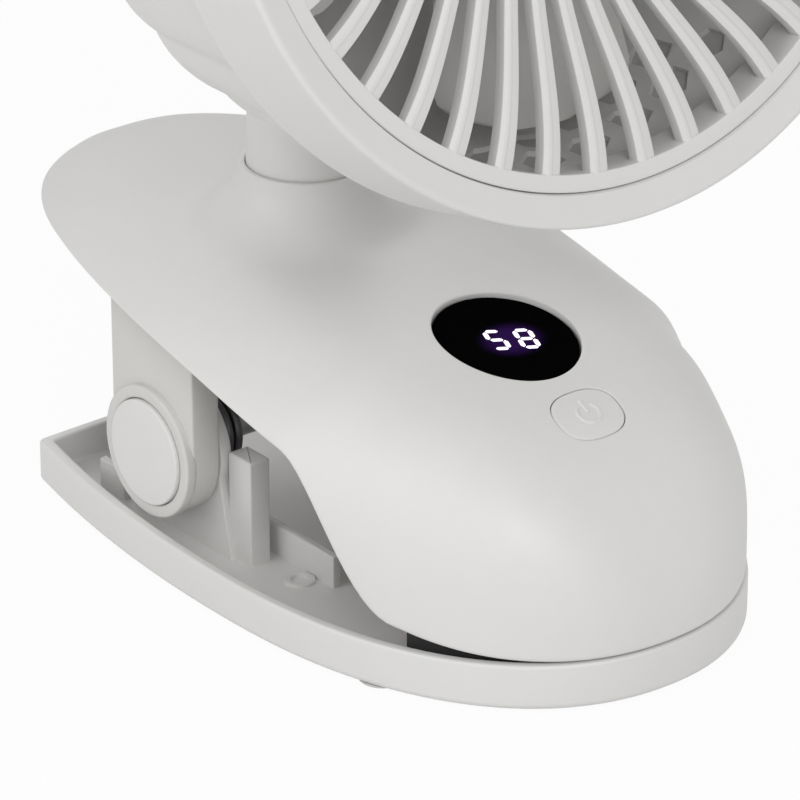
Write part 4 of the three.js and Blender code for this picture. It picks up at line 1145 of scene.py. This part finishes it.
def charging_socket():
    """The metal sleeve of the charging socket with its contact tongue."""
    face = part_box("usb_socket")[1].x / MM - USB_RECESS
    outer = superellipse(USB_WIDTH / 2, USB_HEIGHT / 2, USB_POWER, 48)
    inner = superellipse(USB_WIDTH / 2 - USB_WALL, USB_HEIGHT / 2 - USB_WALL, USB_POWER, 48)
    levels = (outer, -USB_DEPTH), (outer, 0), (inner, 0), (inner, -USB_DEPTH + 1)
    skin = Skin()
    skin.loft([[(x, y, height) for x, y in line] for line, height in levels])
    place = along_x(USB_Y, USB_Z) @ Matrix.Translation((0, 0, face))
    piece("socket_sleeve", skin, "upper_body", "steel", "usb_socket", place=place)
    tongue = Skin()
    half_width, half_height = USB_TONGUE
    tongue.block((face - USB_DEPTH + 0.5, face - 1), (USB_Y - half_width, USB_Y + half_width),
                 (USB_Z - half_height, USB_Z + half_height), 0.15)
    piece("socket_tongue", tongue, "upper_body", "dark_plastic")


# ---------------------------------------------------------------- underside cover and ears


def underside_cover():
    skin = Skin()
    around = circle(160)
    plan_x, plan_y = shell_plan(around, COVER_INSET)
    edge = 0.2

    def level(share, depth):
        if share == 0:
            return [(0, WIDEST_Y, float(cover_top(np.array(WIDEST_Y))) - depth)]
        y = WIDEST_Y + (plan_y - WIDEST_Y) * share
        return np.stack([plan_x * share, y, cover_top(y) - depth], axis=1).tolist()

    shares = np.linspace(0, 0.98, 50)
    rings = [level(share, 0) for share in shares]
    for inset, depth in ((edge, COVER_THICKNESS), (0, COVER_THICKNESS - edge), (0, edge), (edge, 0)):
        x, y = shell_plan(around, COVER_INSET + inset)
        rings.append(np.stack([x, y, cover_top(y) - depth], axis=1).tolist())
    rings += [level(share, COVER_THICKNESS) for share in shares[::-1]]
    skin.loft(rings)
    cell_trough(skin)
    for side in (-1, 1):
        ear(skin, side)
    seat = NECK_FLANGE_Z - SWIVEL_WASHER - 2 * CLEARANCE
    post = rectangle((NECK_RADIUS - 2, NECK_FLANGE_RADIUS), (SWIVEL_POST_FOOT, seat))
    skin.turn(post, 64, Matrix.Translation((0, NECK_Y, 0)), closed=True)
    piece("underside", skin, "upper_body", "white_inner", "underside_cover")


def cell_trough(skin):
    """The bay below the cover that holds the round cell."""
    inner = CELL_RADIUS + CLEARANCE
    outer = inner + TROUGH_WALL
    floor = CELL_Z - inner - TROUGH_WALL
    rear = CELL_Y + CELL_LENGTH / 2 + CLEARANCE + TROUGH_WALL
    rings = []
    for y in np.linspace(PAD_REAR_Y + CLEARANCE, rear, 24):
        top = float(cover_top(y)) - COVER_THICKNESS / 2
        low = min(floor, top - 1)
        outline = soften([(-outer, top), (-outer, low), (outer, low), (outer, top)], 1.2)
        rings.append([(x, y, z) for x, z in outline])
    skin.loft(rings)


def ear(skin, side):
    """One ear with its stepped round flange."""
    middle = COVER_THICKNESS / 2
    front = PIVOT_Y - EAR_RADIUS
    outline = [(front, float(cover_top(front)) - middle)]
    outline += arc((PIVOT_Y, PIVOT_Z), EAR_RADIUS, math.pi * (1 + np.arange(41) / 40))
    outline += [(PIVOT_Y + EAR_RADIUS, float(cover_top(PIVOT_Y)) - middle + 1.0)]
    skin.plate(outline, *span(side, EAR_INNER_X, EAR_FACE_X), 0.5, along_x(0, 0))
    rim = EAR_RADIUS + EAR_FLANGE_OVERHANG
    seat = CAP_RADIUS + SEAM
    profile = soften([
        (0, EAR_FACE_X - 1), (rim - 0.5, EAR_FACE_X - 1), (rim, EAR_FACE_X - 0.4),
        (rim, EAR_FACE_X + EAR_FLANGE), (seat, EAR_FACE_X + EAR_FLANGE),
        (seat, EAR_FACE_X + CLEARANCE), (0, EAR_FACE_X + CLEARANCE),
    ], 0.45)
    skin.turn([(r, side * h) for r, h in profile], 120, along_x(PIVOT_Y, PIVOT_Z))


def pivot_caps():
    low = EAR_FACE_X + 2 * CLEARANCE
    high = EAR_FACE_X + EAR_FLANGE + CAP_PROUD
    profile = soften([(0, low), (CAP_RADIUS, low), (CAP_RADIUS, high - 0.1), (0, high)], 0.35)
    for name, side in SIDES:
        skin = Skin()
        skin.turn([(r, side * h) for r, h in profile], 120, along_x(PIVOT_Y, PIVOT_Z))
        piece(f"ear_cap_{name}", skin, "upper_body", "white_shell", f"pivot_cap_{name}")


def cover_screws():
    for i, (x, y) in enumerate(SCREW_PLACES):
        low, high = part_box(f"cover_screw_{i + 1}")
        skin = Skin()
        pan_screw(skin, Matrix.Translation((x, y, low.z / MM)), (high.z - low.z) / MM)
        piece(f"cover_screw_head_{i + 1}", skin, "upper_body", "steel", f"cover_screw_{i + 1}")


def pan_screw(skin, place, length):
    """A pan-head screw that points along +Z, with a round recess in its head."""
    recess = 1.0
    shank = 1.2
    profile = [(0, 0.7), (recess, 0.7), (recess, 0), (SCREW_HEAD * 0.7, 0), (SCREW_HEAD, 0.45),
               (SCREW_HEAD, SCREW_HEAD_HEIGHT), (shank, SCREW_HEAD_HEIGHT), (shank, length - 0.6),
               (0.5, length), (0, length)]
    skin.turn(soften(profile, 0.18), 40, place)


# ---------------------------------------------------------------- lower jaw, its pads and feet


def jaw_outline(inset):
    half_width = JAW_HALF_WIDTH - inset
    rear_half_width = JAW_REAR_HALF_WIDTH - inset
    reach = JAW_FRONT_REACH - inset
    rear_reach = JAW_REAR_REACH - inset
    side_end = rear_reach - JAW_CORNER - JAW_REAR_BULGE
    side = []
    for angle in np.linspace(0, math.pi / 2, 56):
        x = half_width * math.sin(angle) ** (2 / NOSE_WIDTH_POWER)
        side.append((x, WIDEST_Y - reach * abs(math.cos(angle)) ** (2 / NOSE_LENGTH_POWER)))
    for along in np.linspace(0, 1, 19)[1:]:
        side.append((lerp(half_width, rear_half_width, along**2), WIDEST_Y + side_end * along))
    for angle in np.linspace(0, math.pi / 2, 9)[1:]:
        x = rear_half_width - JAW_CORNER * (1 - math.cos(angle))
        side.append((x, WIDEST_Y + side_end + JAW_CORNER * math.sin(angle)))
    corner_x = rear_half_width - JAW_CORNER
    for along in np.linspace(0, 1, 9)[1:]:
        bulge = JAW_REAR_BULGE * (1 - (1 - along) ** 2)
        side.append((corner_x * (1 - along), WIDEST_Y + rear_reach - JAW_REAR_BULGE + bulge))
    return side + [(-x, y) for x, y in side[1:-1][::-1]]


def lower_jaw():
    skin = Skin()
    profile = [(JAW_EDGE_ROUND + 3, JAW_UNDERSIDE)]
    profile += [(inset, JAW_UNDERSIDE + rise)
                for inset, rise in rounding(JAW_EDGE_ROUND, np.linspace(0, 90, 8))]
    rim = [(0, JAW_EDGE_ROUND + JAW_UNDERSIDE), (0, JAW_RIM_TOP), (JAW_WALL, JAW_RIM_TOP),
           (JAW_WALL, JAW_FLOOR_TOP), (JAW_WALL + 3, JAW_FLOOR_TOP)]
    profile += soften(rim, 0.6, False, 5)[1:]
    skin.loft([[(x, y, height) for x, y in jaw_outline(inset)] for inset, height in profile])
    for side in (-1, 1):
        jaw_ribs(skin, side)
        lug(skin, side)
    piece("jaw_tray", skin, "root", "white_shell", "lower_jaw")


def jaw_ribs(skin, side):
    """A post, two low walls and a small ring that stand in the tray."""
    lug_face = LUG_INNER_X + LUG_THICKNESS
    post_ys = POST_FRONT_Y, POST_FRONT_Y + POST_DEPTH
    for near, far, ys, top, edge in (
        (lug_face - POST_WIDTH, LUG_INNER_X + LUG_THICKNESS / 2, post_ys, POST_TOP, 0.5),
        (LOW_WALL_X, LOW_WALL_X + RIB_THICKNESS, LOW_WALL_YS, JAW_RIM_TOP, 0.35),
        (REAR_RIB_X, REAR_RIB_X + RIB_THICKNESS, REAR_RIB_YS, JAW_RIM_TOP, 0.35),
    ):
        skin.block(span(side, near, far), ys, (SUNK_FOOT, top), edge)
    ring = soften(rectangle(TRAY_RING_RADII, (SUNK_FOOT, JAW_FLOOR_TOP + 0.5)), 0.15, True, 2)
    place = Matrix.Translation((side * TRAY_RING_PLACE[0], TRAY_RING_PLACE[1], 0))
    skin.turn(ring, 40, place, closed=True)


def lug(skin, side):
    """A side plate with a round top that holds the hinge pin."""
    lean = 0.1 * math.pi
    outline = [(PIVOT_Y + LUG_FOOT_REAR, SUNK_FOOT)]
    outline += arc((PIVOT_Y, PIVOT_Z), LUG_RADIUS, np.linspace(-lean, math.pi + lean, 40))
    outline.append((PIVOT_Y - LUG_FOOT_FRONT, SUNK_FOOT))
    face = LUG_INNER_X + LUG_THICKNESS
    skin.plate(outline, *span(side, LUG_INNER_X, face), 0.4, along_x(0, 0))
    ring = soften(rectangle((PIN_RADIUS + 0.4, LUG_BOSS_RADIUS), (0, 0.45)), 0.2, True, 3)
    profile = [(r, side * face + side * h * 0.5) for r, h in ring]
    skin.turn(profile, 64, along_x(PIVOT_Y, PIVOT_Z), closed=True)


def jaw_pad(name, outline, low, high, body, node):
    """A rubber pad in front of the notch, as wide as its outline at each y."""
    line = np.array(outline)
    front = line[:, 1].min() + PAD_FRONT_GAP
    line = line[(line[:, 0] >= 0) & (line[:, 1] < WIDEST_Y)]
    line = line[np.argsort(line[:, 1])]
    rings = []
    for y in [*np.linspace(front, front + 3, 10), *np.linspace(front + 3.4, PAD_REAR_Y, 60)]:
        half = max(float(np.interp(y, line[:, 1], line[:, 0])), 0.8)
        section = soften(rectangle((-half, half), (low(y), high(y))), 0.4, True, 3)
        rings.append([(x, y, z) for x, z in section])
    skin = Skin()
    skin.loft(rings)
    piece(name, skin, body, "rubber", node)


def ribbed(level, depth):
    """A height with evenly spaced grooves across the pad."""
    def at(y):
        share = ((PAD_REAR_Y - y) % GROOVE_PITCH) / GROOVE_PITCH
        groove = smooth_between(share, 0.74, 0.82) * (1 - smooth_between(share, 0.92, 1.0))
        return level + depth * float(groove)
    return at


def pads_and_feet():
    jaw_pad("lower_grip", jaw_outline(JAW_WALL + CLEARANCE), lambda y: JAW_FLOOR_TOP,
            ribbed(LOWER_PAD_TOP, -GROOVE_DEPTH), "root", "lower_jaw_pad")
    upper = np.stack(shell_plan(circle(240), PAD_INSET), axis=1)
    jaw_pad("upper_grip", upper, ribbed(LOWER_PAD_TOP + CLEARANCE, GROOVE_DEPTH),
            lambda y: float(cover_top(y)) - COVER_THICKNESS - CLEARANCE, "upper_body", "upper_jaw_pad")
    profile = soften([(0, 0), (FOOT_RADIUS - 0.4, 0), (FOOT_RADIUS, JAW_UNDERSIDE),
                      (0, JAW_UNDERSIDE)], 0.25)
    for where, foot_y in FOOT_YS.items():
        for name, side in SIDES:
            skin = Skin()
            skin.turn(profile, 64, Matrix.Translation((side * FOOT_X, foot_y, 0)))
            piece(f"foot_{where}_{name}", skin, "root", "rubber", f"foot_pad_{where}_{name}",
                  finish=PALE_RUBBER)


def hinge_metal():
    """The hinge pin and the two torsion springs round it."""
    skin = Skin()
    half = EAR_FACE_X - 1 - CLEARANCE
    skin.turn(soften(rectangle((0, PIN_RADIUS), (-half, half)), 0.4), 48, along_x(PIVOT_Y, PIVOT_Z))
    piece("pin", skin, "root", "steel", "hinge_pin")
    length = SPRING_TURNS * SPRING_TURN_PITCH
    for name, side in SIDES:
        node = f"torsion_spring_{name}"
        low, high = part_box(node)
        leg_low = low.z / MM + SPRING_WIRE - PIVOT_Z
        leg_high = high.z / MM - SPRING_WIRE - PIVOT_Z
        legs = np.linspace(0.12, 1, 12)
        path = [(0, SPRING_LEG_REAR * s, lerp(-SPRING_COIL, leg_low, s**SPRING_LEG_BEND))
                for s in legs[::-1]]
        for along in np.linspace(0, 1, int(SPRING_TURNS * SPRING_STEPS) + 1):
            angle = -0.5 * math.pi - 2 * math.pi * SPRING_TURNS * along
            path.append((length * along, SPRING_COIL * math.cos(angle), SPRING_COIL * math.sin(angle)))
        path += [(length, SPRING_LEG_REAR * s, lerp(SPRING_COIL, leg_high, s**SPRING_LEG_BEND))
                 for s in legs]
        start = SPRING_INNER_X if side > 0 else -SPRING_INNER_X - length
        wire = Skin()
        wire.tube([(x + start, y + PIVOT_Y, z + PIVOT_Z) for x, y, z in path], SPRING_WIRE)
        piece(f"spring_{name}", wire, "root", "steel", node, sharp=60, finish=SPRING_STEEL)


# ---------------------------------------------------------------- neck and tilt screw


def neck():
    skin = Skin()
    flange_top = NECK_FLANGE_Z + NECK_FLANGE_THICKNESS
    profile = soften([
        (0, NECK_FLANGE_Z), (NECK_FLANGE_RADIUS, NECK_FLANGE_Z), (NECK_FLANGE_RADIUS, flange_top),
        (NECK_RADIUS, flange_top), (NECK_RADIUS, COLLAR_TOP), (NECK_TOP_RADIUS, NECK_SHOULDER_Z - 3),
        (NECK_TOP_RADIUS - 1, NECK_SHOULDER_Z - 1), (NECK_TOP_RADIUS - 3.2, NECK_SHOULDER_Z),
        (0, NECK_SHOULDER_Z),
    ], 0.8, False, 6)
    skin.turn(profile, 128, Matrix.Translation((0, NECK_Y, 0)))
    foot = NECK_SHOULDER_Z - 5
    outline = [(NECK_Y - KNUCKLE_RADIUS, foot), (NECK_Y + KNUCKLE_RADIUS, foot)]
    outline += arc((NECK_Y, TILT_Z), KNUCKLE_RADIUS, np.linspace(0, math.pi, 48))
    skin.plate(outline, -KNUCKLE_HALF_WIDTH, KNUCKLE_HALF_WIDTH, 0.6, along_x(0, 0))
    piece("post", skin, "neck", "white_shell", "neck_post")


def tilt_pin():
    """The screw through the clevis and its nut."""
    seat = CLEVIS_OUTER_X + CLEARANCE
    end = seat + TILT_HEAD_HEIGHT
    profile = soften([
        (0, end - 1.1), (1.5, end - 1.1), (1.5, end), (TILT_HEAD_RADIUS - 0.5, end),
        (TILT_HEAD_RADIUS, seat + 1.1), (TILT_HEAD_RADIUS, seat), (TILT_PIN_RADIUS, seat),
        (TILT_PIN_RADIUS, -end), (0, -end),
    ], 0.25)
    skin = Skin()
    skin.turn(profile, 48, along_x(NECK_Y, TILT_Z))
    piece("tilt_screw", skin, "head", "steel", "tilt_pin")
    nut = Skin()
    outline = soften(arc((0, 0), TILT_HEAD_RADIUS, np.arange(6) * math.pi / 3), 0.3, True, 2)
    nut.plate(outline, 0.3 - end, -seat, 0.3, along_x(NECK_Y, TILT_Z))
    piece("tilt_screw_nut", nut, "head", "steel", "tilt_nut")


# ---------------------------------------------------------------- fan head


def ring_housing():
    ledge = -GRILLE_DEPTH - CLEARANCE
    ledge_radius = SEAM_RADIUS - LEDGE_WIDTH
    profile = [
        (RING_RADIUS - RING_DRAFT, RING_REAR), (RING_RADIUS, -1), (RING_RADIUS, RING_FRONT),
        (SEAM_RADIUS + 0.25, CLEARANCE + 0.15), (SEAM_RADIUS, -0.2), (SEAM_RADIUS, ledge),
        (ledge_radius, ledge), (ledge_radius, ledge - LEDGE_THICKNESS),
        (RING_BORE, ledge - LEDGE_THICKNESS), (RING_BORE, RING_REAR),
    ]
    rounded = soften(profile[:4], RING_EDGE_ROUND, False, 10) + soften(profile[3:], 0.2, False, 2)[1:]
    skin = Skin()
    skin.turn(rounded, 256, None, closed=True)
    piece("bezel_ring", skin, "head", "white_shell", "ring_housing", place=HEAD)


def on_face(radius, angle, across=0):
    """A point of the head's face: angle 0 is straight down and it turns towards +X."""
    x = radius * math.sin(angle) + across * math.cos(angle)
    return x, -radius * math.cos(angle) + across * math.sin(angle)


def vane():
    skin = Skin()
    rings = []
    for share in np.linspace(0, 1, 26):
        radius = lerp(GRILLE_HUB_RADIUS - 1.5, GRILLE_OPENING + 1.2, share)
        angle = math.radians(-VANE_BOW * (GRILLE_OPENING - radius) ** 2)
        half = lerp(VANE_HUB_WIDTH, VANE_RIM_WIDTH, share) / 2
        rings.append([(*on_face(radius, angle, a * half), depth) for a, depth in VANE_SECTION])
    skin.loft(rings)
    return skin


def front_grille():
    made = draft_object("grille", vane(), 40)
    grow(made, COPIES, count=VANE_COUNT, start_angle=math.radians(VANE_PHASE),
         finish=FINISHES["white_shell"])
    skin = Skin()
    rim = [(SEAM_RADIUS - SEAM, -GRILLE_DEPTH), (SEAM_RADIUS - SEAM, 0),
           (GRILLE_OPENING, 0), (GRILLE_OPENING - 0.15, -GRILLE_DEPTH)]
    skin.turn(soften(rim, 0.32, True), 256, None, closed=True)
    groove = [GRILLE_HUB_RADIUS - inset for inset in GRILLE_HUB_GROOVE]
    hub = [(0, -GRILLE_DEPTH), (GRILLE_HUB_RADIUS, -GRILLE_DEPTH), (GRILLE_HUB_RADIUS, 0),
           (groove[0], 0), (groove[1], -0.35), (groove[2], 0),
           (GRILLE_HUB_RADIUS * 0.5, -0.15), (0, -0.3)]
    skin.turn(soften(hub, 0.4), 160)
    set_in_head(made, skin, 40)
    fit_out(made, "head", "white_shell", "front_grille")


def cover_line(inset):
    """The outer line of the rear cover as (radius, z), from its waist to its flat back."""
    waist = np.array((COVER_WAIST_RADIUS - inset, COVER_WAIST))
    bend = np.array((COVER_WAIST_RADIUS - COVER_TURN_IN - inset, COVER_BACK + inset))
    back = np.array((COVER_BACK_RADIUS - inset / 2, COVER_BACK + inset))
    return [tuple(curve(waist, bend, back, t)) for t in np.linspace(0, 1, 15)]


def lobed_rings(profile):
    """Rings of a (radius, height) profile about the head's axis, with the bowl's shallow lobes."""
    sides = LOBE_COUNT * LOBE_STEPS
    angle = circle(sides)
    along = (angle * LOBE_COUNT / (2 * math.pi) % 1) * 2 - 1
    valley = np.abs(along) ** 2.2 - 0.2 * np.abs(along) ** 14
    front = CLEARANCE - RING_REAR
    rings = []
    for radius, height in profile:
        if radius < 1e-6:
            rings.append([(0, 0, height)])
            continue
        fade = smooth_between(-height, front, front + LOBE_FADE_LENGTH)
        here = radius - LOBE_DEPTH * float(fade * smooth_between(radius, *LOBE_FADE_RADII)) * valley
        x, y = here * np.sin(angle), -here * np.cos(angle)
        rings.append(list(zip(x.tolist(), y.tolist(), [height] * sides)))
    return rings


def rear_cover():
    spigot = RING_BORE - CLEARANCE
    shoulder = RING_REAR - CLEARANCE
    bore = COVER_BODY_RADIUS - HEAD_WALL - 0.7, COVER_WAIST_RADIUS - HEAD_WALL
    side = [(lerp(COVER_BODY_RADIUS, COVER_WAIST_RADIUS, t), lerp(shoulder, COVER_WAIST, t))
            for t in np.linspace(0, 1, 13)]
    inside = [(lerp(*bore, t), lerp(shoulder - 2, COVER_WAIST, t)) for t in np.linspace(0, 1, 12)]
    rim = soften([(spigot, shoulder), (spigot, COVER_RIM_FRONT), (spigot - RIM_WALL, COVER_RIM_FRONT),
                  (spigot - RIM_WALL, shoulder)], 0.5)
    floor = COVER_BACK + HEAD_WALL
    profile = [(0, COVER_BACK), (20, COVER_BACK), (36, COVER_BACK), *cover_line(0)[::-1],
               *side[::-1][1:], *rim[:-1], *inside, *cover_line(HEAD_WALL)[1:], (30, floor), (0, floor)]
    skin = Skin()
    skin.loft(lobed_rings(profile))
    made = draft_object("rear_bowl", skin, 40)
    cut_vents(made)
    arms = Skin()
    for side in (-1, 1):
        clevis_arm(arms, side)
    set_in_head(made, arms, 40)
    fit_out(made, "head", "white_shell", "rear_cover")


def vent_gauze():
    """A fine grey sheet that lines the side vents, in the middle of the wall: painted shade, a stand-in
    for the shade seen through the vents.
    """
    front = VENT_FRONT_ROW + HEX_PITCH * 0.6
    back = VENT_FRONT_ROW - HEX_PITCH * 1.5
    profile = []
    for height in np.linspace(front, back, 8):
        share = (height - RING_REAR) / (COVER_WAIST - RING_REAR)
        radius = lerp(COVER_BODY_RADIUS, COVER_WAIST_RADIUS, share) - HEAD_WALL / 2
        profile.append((radius, float(height)))
    inner = [(radius - PAINTED_SHADE_THICKNESS, height) for radius, height in profile[::-1]]
    skin = Skin()
    skin.loft(lobed_rings(profile + inner), None, closed=True)
    piece("vent_gauze", skin, "head", "dark_plastic", place=HEAD, finish=PAINTED_VENT_SHADE)


def vent_seats():
    """Places and turns of the vents: a field at the bottom, one at the top and the back."""
    seats = []
    row_pitch = HEX_PITCH * math.sin(math.pi / 3)
    step = HEX_PITCH / COVER_WAIST_RADIUS
    columns = int(math.radians(VENT_FIELD_HALF_ANGLE) / step)
    for middle in (0, math.pi):
        for row in range(VENT_ROWS):
            odd = row % 2
            for column in range(-columns, columns - odd + 1):
                angle = middle + (column + odd / 2) * step
                place = (*on_face(COVER_WAIST_RADIUS + 1, angle), VENT_FRONT_ROW - row * row_pitch)
                seats.append((place, (0, math.pi / 2, angle - math.pi / 2)))
    reach = math.ceil(BACK_VENT_RING[1] / row_pitch)
    for row in range(-reach, reach + 1):
        for column in range(-reach, reach + 1):
            x = (column + math.fmod(row, 2) / 2) * HEX_PITCH
            y = row * row_pitch
            near_x = abs(x) < CLEVIS_OUTER_X + HEX_ACROSS
            near_y = abs(y - TILT_PIN.y) < CLEVIS_RADIUS + HEX_ACROSS
            if BACK_VENT_RING[0] < math.hypot(x, y) < BACK_VENT_RING[1] and not (near_x and near_y):
                seats.append(((x, y, COVER_BACK + 1), (0, 0, math.pi / 2)))
    return seats


def cut_vents(bowl):
    places, turns = zip(*vent_seats())
    mesh = bpy.data.meshes.new("vent seats")
    mesh.from_pydata(places, [], [])
    attribute = mesh.attributes.new("turn", "FLOAT_VECTOR", "POINT")
    attribute.data.foreach_set("vector", [value for turn in turns for value in turn])
    prisms = add_object("vent prisms", mesh)
    grow(prisms, HONEYCOMB, across=HEX_ACROSS, depth=VENT_CUT_DEPTH, finish=FINISHES["white_shell"])
    vents = bowl.modifiers.new("Vents", "BOOLEAN")
    vents.operation = "DIFFERENCE"
    vents.solver = "EXACT"
    vents.object = prisms
    keep_result(bowl)
    bpy.data.objects.remove(prisms)


def clevis_arm(skin, side):
    root = COVER_BACK + HEAD_WALL / 2
    foot = CLEVIS_RADIUS + 5
    outline = [(TILT_PIN.y - foot, root)]
    outline += arc((TILT_PIN.y, TILT_PIN.z), CLEVIS_RADIUS, math.pi * (1 + np.linspace(0, 1, 36)))
    outline.append((TILT_PIN.y + foot, root))
    skin.plate(outline, *span(side, CLEVIS_INNER_X, CLEVIS_OUTER_X), 0.7, along_x(0, 0))


def motor():
    waist = MOTOR_RADIUS - 0.6
    boss = SHAFT_RADIUS + 0.4
    profile = soften([
        (0, MOTOR_BACK), (MOTOR_RADIUS - 1, MOTOR_BACK), (MOTOR_RADIUS, MOTOR_BACK + 1),
        (MOTOR_RADIUS, MOTOR_BACK + 5), (waist, MOTOR_BACK + 5.4), (waist, MOTOR_FRONT - 5.4),
        (MOTOR_RADIUS, MOTOR_FRONT - 5), (MOTOR_RADIUS, MOTOR_FRONT - 1),
        (MOTOR_RADIUS - 1, MOTOR_FRONT), (6, MOTOR_FRONT), (5.5, MOTOR_FRONT + 0.8),
        (boss, MOTOR_FRONT + 0.8), (boss, MOTOR_FRONT - 2), (0, MOTOR_FRONT - 2),
    ], 0.3)
    skin = Skin()
    skin.turn(profile, 72)
    piece("motor_can", skin, "head", "steel", "motor", place=HEAD)
    start = MOTOR_FRONT - SHAFT_SEAT + CLEARANCE
    shaft = Skin()
    shaft.turn(soften(rectangle((0, SHAFT_RADIUS), (start, start + SHAFT_LENGTH)), 0.3), 32)
    piece("shaft", shaft, "rotor", "steel", "motor_shaft", place=HEAD)
    for i in range(3):
        x, y = on_face(MOTOR_SCREW_CIRCLE, math.pi + i * 2 * math.pi / 3)
        screw = Skin()
        pan_screw(screw, Matrix.Translation((x, y, COVER_BACK - CLEARANCE - 1)), MOTOR_SCREW_LENGTH)
        piece(f"motor_screw_head_{i + 1}", screw, "head", "steel", f"motor_screw_{i + 1}", place=HEAD)


def blade():
    """A twisted blade: a thin rounded section drawn out from the hub to the tip."""
    middle = IMPELLER_FRONT - IMPELLER_DEPTH / 2
    rings = []
    for along in np.linspace(0, 1, 22):
        radius = lerp(IMPELLER_HUB_RADIUS - 1, IMPELLER_RADIUS, along)
        past = max(along - (1 - BLADE_TIP_SHARE), 0) / BLADE_TIP_SHARE
        half = lerp(*BLADE_CHORDS, along) / 2 * math.sqrt(1 - BLADE_TIP_NARROWING * past**2)
        pitch = math.radians(lerp(*BLADE_PITCHES, along))
        ring = []
        for turn in circle(20):
            across = half * math.cos(turn)
            thick = BLADE_THICKNESS / 2 * math.sin(turn)
            swing = (across * math.cos(pitch) - thick * math.sin(pitch)) / radius
            z = middle + across * math.sin(pitch) + thick * math.cos(pitch)
            ring.append((*on_face(radius, swing), z))
        rings.append(ring)
    skin = Skin()
    skin.loft(rings)
    return skin


def impeller():
    made = draft_object("fan_wheel", blade(), 50)
    grow(made, COPIES, count=BLADE_COUNT, start_angle=0.0, finish=FINISHES["white_inner"])
    back = IMPELLER_FRONT - IMPELLER_DEPTH
    wall = IMPELLER_HUB_RADIUS - IMPELLER_HUB_WALL
    floor = IMPELLER_FRONT - 5
    bore = SHAFT_RADIUS + CLEARANCE
    hub = soften([
        (0, IMPELLER_FRONT), (IMPELLER_HUB_RADIUS - 4, IMPELLER_FRONT),
        (IMPELLER_HUB_RADIUS - 1, IMPELLER_FRONT - 1.2), (IMPELLER_HUB_RADIUS, IMPELLER_FRONT - 4),
        (IMPELLER_HUB_RADIUS, back), (wall, back), (wall, floor), (4, floor), (4, back),
        (bore, back), (bore, IMPELLER_FRONT - 3), (0, IMPELLER_FRONT - 3),
    ], 0.5)
    skin = Skin()
    skin.turn(hub, 96)
    set_in_head(made, skin, 50)
    fit_out(made, "rotor", "white_inner", "impeller")


# ---------------------------------------------------------------- solids that keep their shape


def finish_kept_solids():
    for name, slot_name in KEPT_SOLIDS.items():
        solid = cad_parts[name]
        if not solid.material_slots:
            solid.data.materials.append(FINISHES[slot_name])
        for slot in solid.material_slots:
            slot.material = FINISHES[slot_name]


# ---------------------------------------------------------------- camera, light and floor


def camera():
    data = bpy.data.cameras.new("camera")
    data.lens = LENS
    data.sensor_width = 36
    data.clip_end = 20
    made = add_object("camera", data)
    turn = Matrix((CAMERA_RIGHT, CAMERA_UP, CAMERA_BACK)).transposed()
    made.matrix_world = Matrix.Translation(CAMERA_PLACE) @ turn.to_4x4()
    bpy.context.scene.camera = made


def area_light(name, place, target, size, power):
    data = bpy.data.lights.new(name, "AREA")
    data.shape = "DISK"
    data.size = size
    data.energy = power
    away = (Vector(place) - Vector(target)).to_track_quat("Z", "Y")
    add_object(name, data).matrix_world = Matrix.Translation(place) @ away.to_matrix().to_4x4()


def seen_rays(tree):
    """1 for rays from the camera, mirrors and glass, 0 for the light that falls on the fan."""
    path = add_node(tree, "ShaderNodeLightPath").outputs
    both = calculation(tree, "MAXIMUM", path["Is Camera Ray"], path["Is Glossy Ray"])
    return calculation(tree, "MAXIMUM", both, path["Is Transmission Ray"])


def studio():
    world = bpy.data.worlds.new("studio")
    bpy.context.scene.world = world
    world.use_nodes = True
    tree = world.node_tree
    soft = feed(tree, tree.nodes["Background"], {"Color": (1.0, 0.995, 0.985, 1), "Strength": SKY})
    white = add_node(tree, "ShaderNodeBackground", {"Strength": 1.0})
    mix = add_node(tree, "ShaderNodeMixShader", {
        "Fac": seen_rays(tree), 1: soft.outputs["Background"], 2: white.outputs["Background"]})
    feed(tree, tree.nodes["World Output"], {"Surface": mix.outputs["Shader"]})
    for light in LIGHTS:
        area_light(*light)


def floor():
    mesh = bpy.data.meshes.new("floor")
    half = 6.0
    mesh.from_pydata([(-half, -half, 0), (half, -half, 0), (half, half, 0), (-half, half, 0)], [],
                     [(0, 1, 2, 3)])
    made = add_object("floor", mesh)
    material, tree, shader = new_material("pale floor")
    feed(tree, shader, {"Base Color": (0.8, 0.8, 0.8, 1), "Roughness": 0.9})
    glow = add_node(tree, "ShaderNodeEmission")
    mix = add_node(tree, "ShaderNodeMixShader", {
        "Fac": calculation(tree, "MULTIPLY", seen_rays(tree), FLOOR_GLOW),
        1: shader.outputs["BSDF"], 2: glow.outputs["Emission"]})
    feed(tree, tree.nodes["Material Output"], {"Surface": mix.outputs["Shader"]})
    mesh.materials.append(material)


# ---------------------------------------------------------------- the fan, put together

camera()
studio()
floor()
top_shell()
display()
button()
charging_socket()
underside_cover()
pivot_caps()
cover_screws()
lower_jaw()
pads_and_feet()
hinge_metal()
neck()
tilt_pin()
ring_housing()
front_grille()
rear_cover()
vent_gauze()
motor()
impeller()
finish_kept_solids()

bpy.context.scene.view_settings.view_transform = "Standard"
